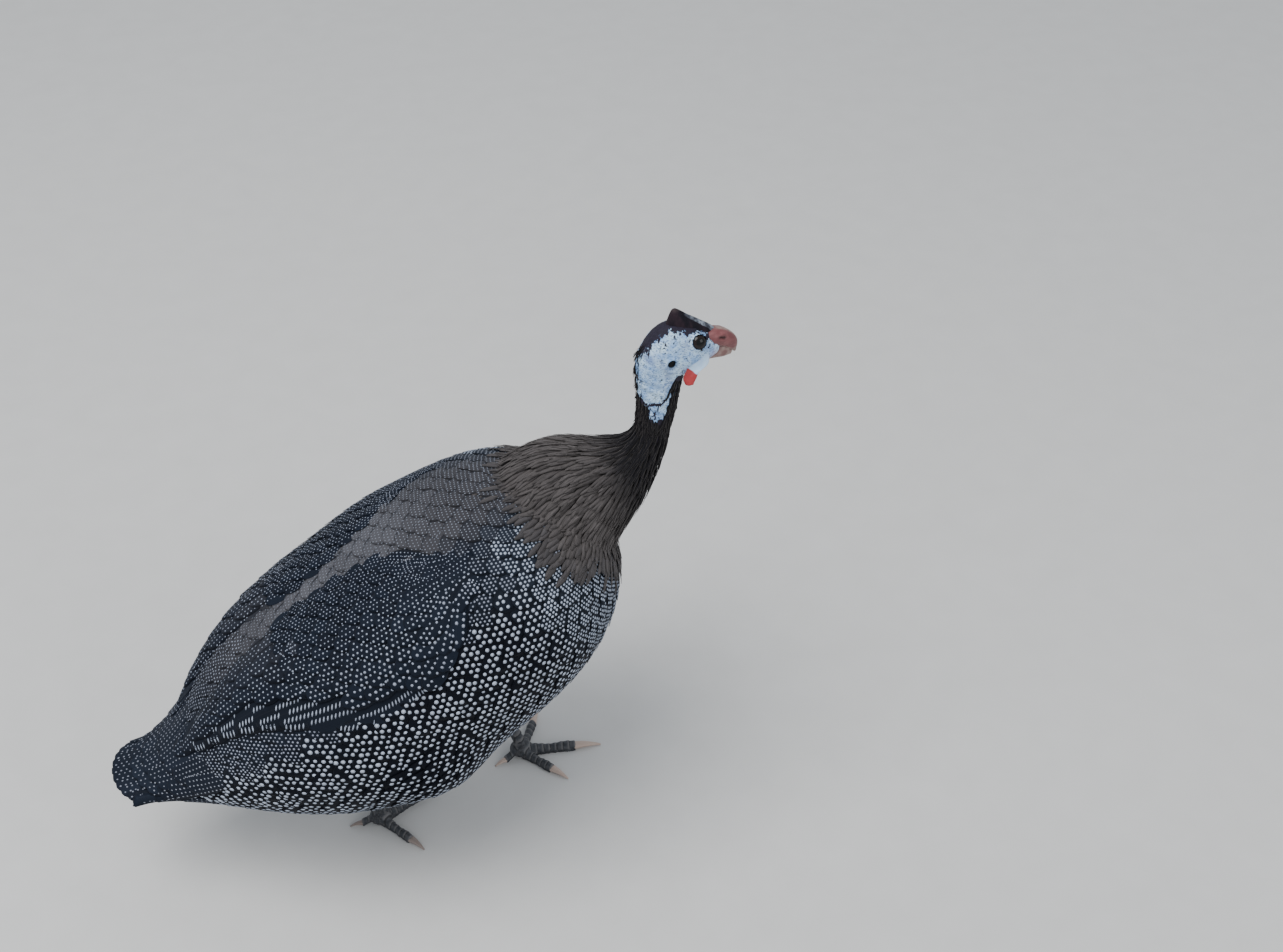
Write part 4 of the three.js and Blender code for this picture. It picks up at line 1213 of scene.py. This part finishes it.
for kind, side_name, coat, roots, flat in wing_coats:
    if kind == "secondaries":
        sign = 1 if side_name == "left" else -1
        marks = []
        for f in range(coat.count):
            ahead = np.arange(4, coat.length[f] * 0.8, 2.9)
            full = np.ones(len(ahead))
            for u_mark, wide in ((-0.62, 5.2), (0.02, 4.6), (0.62, 5.2)):
                v = 1 - (ahead + 1.5 * u_mark) / coat.length[f]
                where = (full * f, sign * u_mark * full, v)
                marks.append((*where, wide * full, 1.15 * full, -sign * 0.5 * full))
        spot_piece(f"secondary_bars_{side_name}", coat, marks, flat, (0.40, 0.45, 0.55))
        continue
    low = step(-0.6, 0.7, roots[:, 1]) * step(0.75, 0.25, roots[:, 0])
    every = np.ones(coat.count, bool)
    marks = columns_of_spots(coat, every, 3.3 + 1.2 * low, 1.15 + 1.15 * low, 1.8, REACH[kind], seed=54)
    spot_piece(f"{kind}_spots_{side_name}", coat, marks, flat, (0.34, 0.38, 0.47))

# Eyes
# Moist dark eyes, set in under the lids, which hold them. Each has a black pupil and a brown iris with fine
# rays, under a clear wet cornea.
eye = Finish("eye", Roughness=0.1, Specular_IOR_Level=0.1, Coat_Weight=0.45, Coat_Roughness=0.02)
rays = eye.noise(eye.attribute("rays", "Vector"), 9, 2)
axis_mm = eye.attribute("from_axis")
iris = eye.mix(rays, (0.005, 0.003, 0.002), (0.014, 0.007, 0.005))
iris = eye.mix(axis_mm.between(4.2, 5.0), iris, (0.008, 0.005, 0.005))
eye.feed(Base_Color=eye.mix(axis_mm.between(2.7, 3.0), (0.001, 0.001, 0.001), iris))
for side_name, sign in (("left", 1), ("right", -1)):
    bm = bmesh.new()
    bmesh.ops.create_uvsphere(bm, u_segments=48, v_segments=36, radius=EYE_RADIUS * MM)
    bmesh.ops.rotate(bm, verts=bm.verts, matrix=Matrix.Rotation(math.radians(-90 * sign), 3, "X"))
    ball = spots_of(bm.verts)
    axial = ball @ (GAZE * [1, sign, 1])
    radius = np.sqrt(np.clip(EYE_RADIUS**2 - axial**2, 0, None))
    bmesh.ops.translate(bm, verts=bm.verts, vec=Vector((EYE[0], EYE[1] * sign, EYE[2])) * MM)
    eyeball = from_bmesh(f"eyeball_{side_name}", bm)
    paint(eyeball, from_axis=np.where(axial > 0, radius, 9))
    around = np.stack([ball[:, 0] / (radius + 0.01), radius * 0.02, ball[:, 2] / (radius + 0.01)], -1)
    rays_at = eyeball.data.attributes.new("rays", "FLOAT_VECTOR", "POINT")
    rays_at.data.foreach_set("vector", around.astype(np.float32).ravel())
    dress(eyeball, eye, f"eye_{side_name}", slot="eye")

# Bill
# Two sheaths of horn over the jaws, the upper one hooked over the lower. It is red brown with a pale ridge and
# pale edges, and has a long nostril on each side, under a soft fold.
def head_path(*places):
    return [(HEAD[0] - SHIFT + h, 0, HEAD[2] + k) for h, k in places]


def moulded(name, surface, relief):
    """A closed limb, its t and its angles. relief(spot from the head's point, t, angle) is raised on it"""
    known = {}

    def place(t, angle):
        p = t * surface.length
        spot = surface(p, angle)
        out = facing(surface, np.clip(p, 0.6, surface.length - 0.6), angle)[0]
        known.setdefault("t", t)
        known.setdefault("angle", angle)
        return spot + out * relief(spot - HEAD, t, angle)[:, None]

    piece = from_bmesh(name, lofted(place, 72, 72))
    return piece, known["t"], known["angle"]


upper_bill = limb_surface(
    head_path((3, -3.4), (10.5, -3.4), (17, -5.8), (22.2, -10.6), (25.4, -17.6)),
    [6, 6.4, 6, 4.8, 0.9], [6.5, 6.6, 5.6, 4, 0.9], [7.4, 7.6, 6, 4, 0.9],
)
lower_bill = limb_surface(
    head_path((2, -15.5), (10, -15.6), (17.5, -16.8), (22.6, -19)),
    [8, 8, 7.4, 3], [3.8, 3.6, 2.8, 0.8], [6.4, 6.2, 4.6, 1],
)


def slit(spot):
    """How deep in the nostril a place is"""
    h, k = spot[:, 0] - 15, spot[:, 2] + 2.2
    return hill(h * 0.93 - k * 0.36, 2.7, 4) * hill(k * 0.93 + h * 0.36, 0.85)


def upper_relief(spot, t, angle):
    h, k = spot[:, 0] - 14.6, spot[:, 2] + 0.6
    fold = 0.55 * hill(h, 3.4) * hill(k, 1.1)
    ridge = 0.35 * hill(np.abs(angle), 0.2)
    lip = 0.45 * hill(np.cos(angle) + 0.62, 0.16) * step(0.05, 0.3, t)
    rough = 0.14 * ripple(*spot.T, 1.0, 21) + 0.10 * ripple(*spot.T, 3.0, 22)
    rough = rough * step(0.7, 0.3, t) + 0.05 * ripple(*spot.T, 1.6, 23)
    return (fold + ridge + lip - 1.9 * slit(spot)) * step(1.0, 0.85, t) + rough


horn = Finish("bill_horn", Coat_Weight=0.15, Coat_Roughness=0.35)
where = horn.place((1, 1, 1.6))
grain = horn.noise(where, 700, 4)
blotch = horn.noise(where, 170, 3)
red = horn.mix(blotch.between(0.35, 0.65), (0.14, 0.034, 0.036), (0.21, 0.066, 0.066))
red = horn.mix(grain.between(0.5, 0.75) * 0.5, red, (0.14, 0.05, 0.05))
tan = horn.mix(grain, (0.20, 0.125, 0.11), (0.33, 0.23, 0.20))
tan = horn.mix(blotch.between(0.4, 0.65) * 0.8, tan, (0.14, 0.055, 0.052))
pale_horn = horn.attribute("pale") + (blotch - 0.5) * 0.5
both = horn.mix(pale_horn.between(0.3, 0.75), red, tan)
# Painted shade: the nostril slit is painted near black for the shade down in it
horn.feed(
    Base_Color=horn.mix(horn.attribute("deep"), both, (0.010, 0.006, 0.006)),
    Roughness=0.42 + grain * 0.25,
    Normal=horn.bump(grain + blotch * 0.6, 0.45, 0.0004),
)
for name, surface, relief, node_name in (
    ("upper_mandible", upper_bill, upper_relief, "bill_upper"),
    ("lower_mandible", lower_bill, lambda spot, t, angle: 0.12 * ripple(*spot.T, 1.6, 24), "bill_lower"),
):
    mandible, t, angle = moulded(name, surface, relief)
    spot = spots_of(mandible.data.vertices) - HEAD
    if node_name == "bill_upper":
        light = 0.9 * hill(angle, 0.34) * step(0.12, 0.3, t) + step(0.72, 0.97, t)
        light = light + 0.8 * hill(np.cos(angle) + 0.66, 0.16) * step(0.1, 0.3, t)
    else:
        light = 0.75 + 0.2 * t
    # Painted shade in the nostril, by its depth
    paint(mandible, pale=light, deep=slit(spot) * (node_name == "bill_upper"))
    dress(mandible, horn, node_name, slot="bill_horn")

# Casque
# A fin of bone with a thin rough horn over it, grown to the crown. It is maroon black, with a pale ridge down
# its front.
CASQUE_HEIGHTS = [-2, 5, 11, 16, 20, 21.8]
CASQUE_FRONT = [15, 9, 0.5, -7, -12.5, -15]
CASQUE_BACK = [-24, -23, -22, -20.5, -18.8, -17.6]
CASQUE_SIDE = [7.5, 6, 4.6, 3.6, 2.6, 0.9]


def casque_place(t, angle):
    front, back = along(CASQUE_FRONT, t), along(CASQUE_BACK, t)
    h = (front + back) / 2 + (front - back) / 2 * np.cos(angle)
    side = along(CASQUE_SIDE, t) * np.sin(angle) * (1 - 0.35 * np.clip(np.cos(angle), 0, 1))
    k = along(CASQUE_HEIGHTS, t)
    uneven = 0.16 * ripple(h, side, k, 1.3, 31) + 0.3 * ripple(h, side, k, 3.4, 32)
    wide = side + np.sign(side) * uneven * np.minimum(np.abs(side) / 2, 1)
    return np.stack([h + 0.5 * uneven, wide, k], -1) + HEAD


helmet = from_bmesh("casque_horn", lofted(casque_place, 72, 60))
spot = spots_of(helmet.data.vertices) - HEAD
t = np.interp(spot[:, 2], CASQUE_HEIGHTS, np.linspace(0, 1, 6))
from_front = np.hypot(along(CASQUE_FRONT, t) - spot[:, 0], spot[:, 1] * 0.6)
on_ridge = hill(from_front, 4.6 - 2.8 * t, 4) * step(-1, 3, spot[:, 2]) * (1 - 0.8 * step(0.5, 0.85, t))
paint(helmet, ridge=on_ridge, height=t)
keratin = Finish("casque_horn", Specular_IOR_Level=0.16)
where = keratin.place((1, 1, 0.5))
grain = keratin.noise(where, 800, 4)
patchy = keratin.noise(where, 150, 3)
maroon = keratin.mix(patchy.between(0.35, 0.65), (0.006, 0.005, 0.009), (0.024, 0.014, 0.020))
maroon = keratin.mix(grain.between(0.6, 0.8) * 0.5, maroon, (0.045, 0.040, 0.050))
maroon = keratin.mix(keratin.attribute("height").between(0.75, 1.0) * 0.5, maroon, (0.06, 0.045, 0.045))
ash_horn = keratin.mix(patchy.between(0.35, 0.6), (0.05, 0.055, 0.07), (0.24, 0.27, 0.32))
ash_horn = keratin.mix(grain.between(0.5, 0.65) * 0.8, ash_horn, (0.02, 0.02, 0.03))
ridge = keratin.attribute("ridge") + (patchy - 0.5) * 0.6
keratin.feed(
    Base_Color=keratin.mix(ridge.between(0.35, 0.6), maroon, ash_horn),
    Roughness=0.6 + grain * 0.25,
    Normal=keratin.bump(grain + patchy, 0.5, 0.0005),
)
dress(helmet, keratin, "casque", slot="casque_horn")

# Wattles
# A soft leaf of skin hangs back from each corner of the mouth, where it grows out of the cheek. It is bluish
# white at its root and red at its edge.
wattle_skin = Finish(
    "wattle", Subsurface_Weight=0.1, Subsurface_Scale=0.002, Subsurface_Radius=(1, 0.3, 0.25),
    Specular_IOR_Level=0.4,
)
where = wattle_skin.place()
grain = wattle_skin.noise(where, 900, 3)
blotch = wattle_skin.noise(where, 200, 2)
red = wattle_skin.mix(blotch, (0.27, 0.014, 0.018), (0.46, 0.05, 0.05))
blue = wattle_skin.mix(blotch, (0.30, 0.47, 0.72), (0.60, 0.75, 0.88))
redness = wattle_skin.attribute("red") + (blotch - 0.5) * 0.5
wattle_skin.feed(
    Base_Color=wattle_skin.mix(redness.between(0.35, 0.65), blue, red),
    Roughness=0.4 + grain * 0.2,
    Normal=wattle_skin.bump(grain, 0.5, 0.0003),
)
for side_name, sign in (("left", 1), ("right", -1)):

    def wattle_place(t, angle):
        half = along([3, 7, 7.8, 7.2, 5.0, 4.4, 2.6], t)
        h = along([-1.5, -2.4, -2.8, -3.8, -7.6, -9.0, -9.6], t) + half * 0.95 * np.cos(angle)
        wave = 0.35 * t * np.sin(9 * t + 3 * np.cos(angle))
        out = 8.2 + 6.5 * t + 1.4 * t * np.cos(angle) + wave + 1.2 * np.sin(angle)
        return np.stack([h, out * sign, -8 - 21 * t + 0.2 * half * np.cos(angle)], -1) + HEAD

    flap = from_bmesh(f"wattle_flap_{side_name}", lofted(wattle_place, 48, 40))
    spot = spots_of(flap.data.vertices) - HEAD
    paint(flap, red=step(-17.5, -21.5, spot[:, 2] + 0.75 * (spot[:, 0] + 8)))
    dress(flap, wattle_skin, f"wattle_{side_name}", slot="wattle")

# Shanks, toes and claws
# Bare slate grey legs with a row of broad plates down the front and along each toe, and small scales at the
# back and below. Each toe ends in a blunt pink beige claw. Those of the right foot, in the belly's shadow,
# are painted greyer, as painted shade.
TOES = (
    # degrees from straight ahead, length to the claw, width, claw length, plates, the root's place and height
    (208, 15, 6, 9, 3, 1, 6.5),
    (-42, 31, 7.8, 15, 6, 2, 0),
    (2, 43, 8.8, 20, 8, 2, 0),
    (None, 32, 7.4, 13, 6, 2, 0),
)
SHANK_PLATES = 11
ABOVE_HOCK = 6  # millimetres of the shank that the thigh feathers hide
LEG_VOXEL = 0.00065
scales = Finish("leg_scales", Specular_IOR_Level=0.35, Coat_Weight=0.1, Coat_Roughness=0.4)
where = scales.place()
cells = scales.node("ShaderNodeTexVoronoi", {"feature": "DISTANCE_TO_EDGE"}, {"Vector": where, "Scale": 620})
dust = scales.noise(where, 260, 4)
groove = scales.attribute("groove")
plates = scales.attribute("plates")
mesh_lines = (1 - cells.between(0.02, 0.14)) * (1 - plates)
lead = scales.mix(dust.between(0.3, 0.75), (0.028, 0.032, 0.040), (0.085, 0.085, 0.090))
lead = scales.mix(scales.attribute("edge") * 0.6, lead, (0.17, 0.165, 0.165))
scales.feed(
    Base_Color=scales.mix((mesh_lines + groove).math("MINIMUM", 1) * 0.75, lead, (0.012, 0.012, 0.014)),
    Roughness=0.5 + dust * 0.25,
    Normal=scales.bump((1 - mesh_lines) * 0.7 + dust * 0.5 - groove, 0.6, 0.0004),
)
claw_horn = Finish("claw_horn", Coat_Weight=0.2, Coat_Roughness=0.3)
where = claw_horn.place()
grain = claw_horn.noise(where, 500, 4)
beige = claw_horn.mix(grain, (0.42, 0.30, 0.24), (0.62, 0.49, 0.41))
# Painted shade: a darker copy of the horn for claws in shadow
grey = claw_horn.mix(grain, (0.10, 0.085, 0.08), (0.24, 0.20, 0.18))
claw_shade = claw_horn.attribute("grey") + (grain - 0.5) * 0.4
claw_horn.feed(
    Base_Color=claw_horn.mix(claw_shade.math("MAXIMUM", 0), beige, grey),
    Roughness=0.4 + grain * 0.3,
    Normal=claw_horn.bump(grain, 0.3, 0.0003),
)


def toe_place(width, length, plates, first, lift):
    def place(t, angle):
        high_side = np.cos(angle) > 0
        plate = 0.9 * ((t * plates) % 1) ** 1.5
        fat = 1 + 0.1 * np.sin(3 * math.pi * t)
        pads = 0.35 * np.sin(math.pi * ((t * 3.2) % 1))
        half = (width / 2) * (1 - 0.18 * t) * fat
        high = np.where(high_side, (0.92 * width * (1 - 0.22 * t) * fat + plate) * np.cos(angle), 0.0)
        wide = (half + 0.5 * plate) * np.sin(angle) * np.where(high_side, 1, 0.82 + 0.12 * pads)
        return np.stack([first + (length - first) * t, wide, lift * (1 - t) + high], -1)

    return place


def claw_place(width, length, reach):
    def place(t, angle):
        size = 0.84 * (1 - 0.8 * t**1.2)
        z = 0.9 * np.sin(math.pi * t) + width * size * (0.35 + 0.35 * np.cos(angle))
        return np.stack([length - 1.2 + (reach + 1.5) * t, width / 2 * size * np.sin(angle), z], -1)

    return place


def turned(place, degrees, leg):
    """Turns a place about the foot and moves it there"""
    c, s = math.cos(math.radians(degrees)), math.sin(math.radians(degrees))

    def moved(t, angle):
        x, y, z = np.moveaxis(place(t, angle), -1, 0)
        return np.stack([x * c - y * s + leg["x"] + SHIFT, x * s + y * c + leg["y"], z], -1)

    return moved


PAD = 9, 8.2, 6.5  # half its length, width and height


def pad_place(t, angle):
    k = -np.cos(math.pi * t)
    wide = np.sqrt(np.clip(1 - k**2, 0.001, 1))
    high = np.maximum(PAD[2] * (k + 1), 0)
    return np.stack([PAD[0] * wide * np.cos(angle), PAD[1] * wide * np.sin(angle), high], -1)


for side_name, leg in LEGS.items():
    outwards = 1 if side_name == "left" else -1
    ball_of_foot = (leg["x"], leg["y"], 11)
    shank_surface = limb_surface(
        [leg["hock"], between(leg["hock"], ball_of_foot, 0.5), ball_of_foot],
        [5.8, 4.1, 4.1, 4.6], [6.4, 4.7, 4.1, 4.6], [5.2, 3.6, 3.7, 5],
    )

    def shank_place(t, angle):
        plate = 0.8 * ((SHANK_PLATES * t) % 1) ** 1.5 * np.clip((np.cos(angle) + 0.2) / 0.5, 0, 1)
        p = t * (shank_surface.length + ABOVE_HOCK) - ABOVE_HOCK
        out = facing(shank_surface, np.clip(p, 1, shank_surface.length - 1), angle)[0]
        return shank_surface(p, angle) + out * plate[:, None]

    degrees = [leg["turn"] + outwards * (leg["outer"] if splay is None else splay) for splay, *_ in TOES]
    parts = [lofted(shank_place, 32, 160), lofted(turned(pad_place, leg["turn"], leg), 32, 24)]
    for degree, (_, length, width, _, plates_on, first, lift) in zip(degrees, TOES):
        parts.append(lofted(turned(toe_place(width, length, plates_on, first, lift), degree, leg), 28, 90))
    foot, bm = one_surface(f"scaled_leg_{side_name}", parts, LEG_VOXEL)
    smooth(bm, bm.verts, 2)
    put_back(foot, bm)
    spots = spots_of(foot.data.vertices)
    wave, on_plate = np.zeros(len(spots)), np.zeros(len(spots))
    relative = spots - [leg["x"] + SHIFT, leg["y"], 0]
    for degree, (_, length, width, _, plates_on, first, lift) in zip(degrees, TOES):
        c, s = math.cos(math.radians(degree)), math.sin(math.radians(degree))
        forwards = relative[:, 0] * c + relative[:, 1] * s
        sideways = relative[:, 1] * c - relative[:, 0] * s
        t = (forwards - first) / (length - first)
        on_top = (relative[:, 2] > lift * (1 - t) + 0.35 * width) & (np.abs(sideways) < width * 0.55)
        on = (t > 0.1) & (t < 1.05) & on_top
        wave = np.where(on, t * plates_on, wave)
        on_plate = np.where(on, 1, on_plate)
    axis = unit(np.array(ball_of_foot, float) - leg["hock"])
    from_hock = spots - [SHIFT, 0, 0] - leg["hock"]
    down_shank = from_hock @ axis
    on = (spots[:, 2] > 15) & ((from_hock - down_shank[:, None] * axis)[:, 0] > -1)
    part_down = (down_shank + ABOVE_HOCK) / (shank_surface.length + ABOVE_HOCK)
    wave = np.where(on, SHANK_PLATES * part_down, wave)
    on_plate = np.where(on, 1, on_plate)
    part = wave % 1
    paint(foot, plates=on_plate, groove=on_plate * (part < 0.16), edge=on_plate * step(0.6, 0.95, part))
    toes = [f"toe_{side_name}_{digit}" for digit in (1, 2, 3, 4)]
    dress(foot, scales, f"shank_{side_name}", f"foot_{side_name}", *toes, slot="leg_scales")
    for digit, (degree, (_, length, width, reach, *_)) in enumerate(zip(degrees, TOES), 1):
        place = turned(claw_place(width, length, reach), degree, leg)
        claw = from_bmesh(f"claw_horn_{side_name}_{digit}", lofted(place, 24, 24))
        # Painted shade: the right foot under the belly gets the darker claws
        paint(claw, grey=np.full(len(claw.data.vertices), 0.1 if side_name == "left" else 0.75))
        dress(claw, claw_horn, f"claw_{side_name}_{digit}", slot="claw_horn")
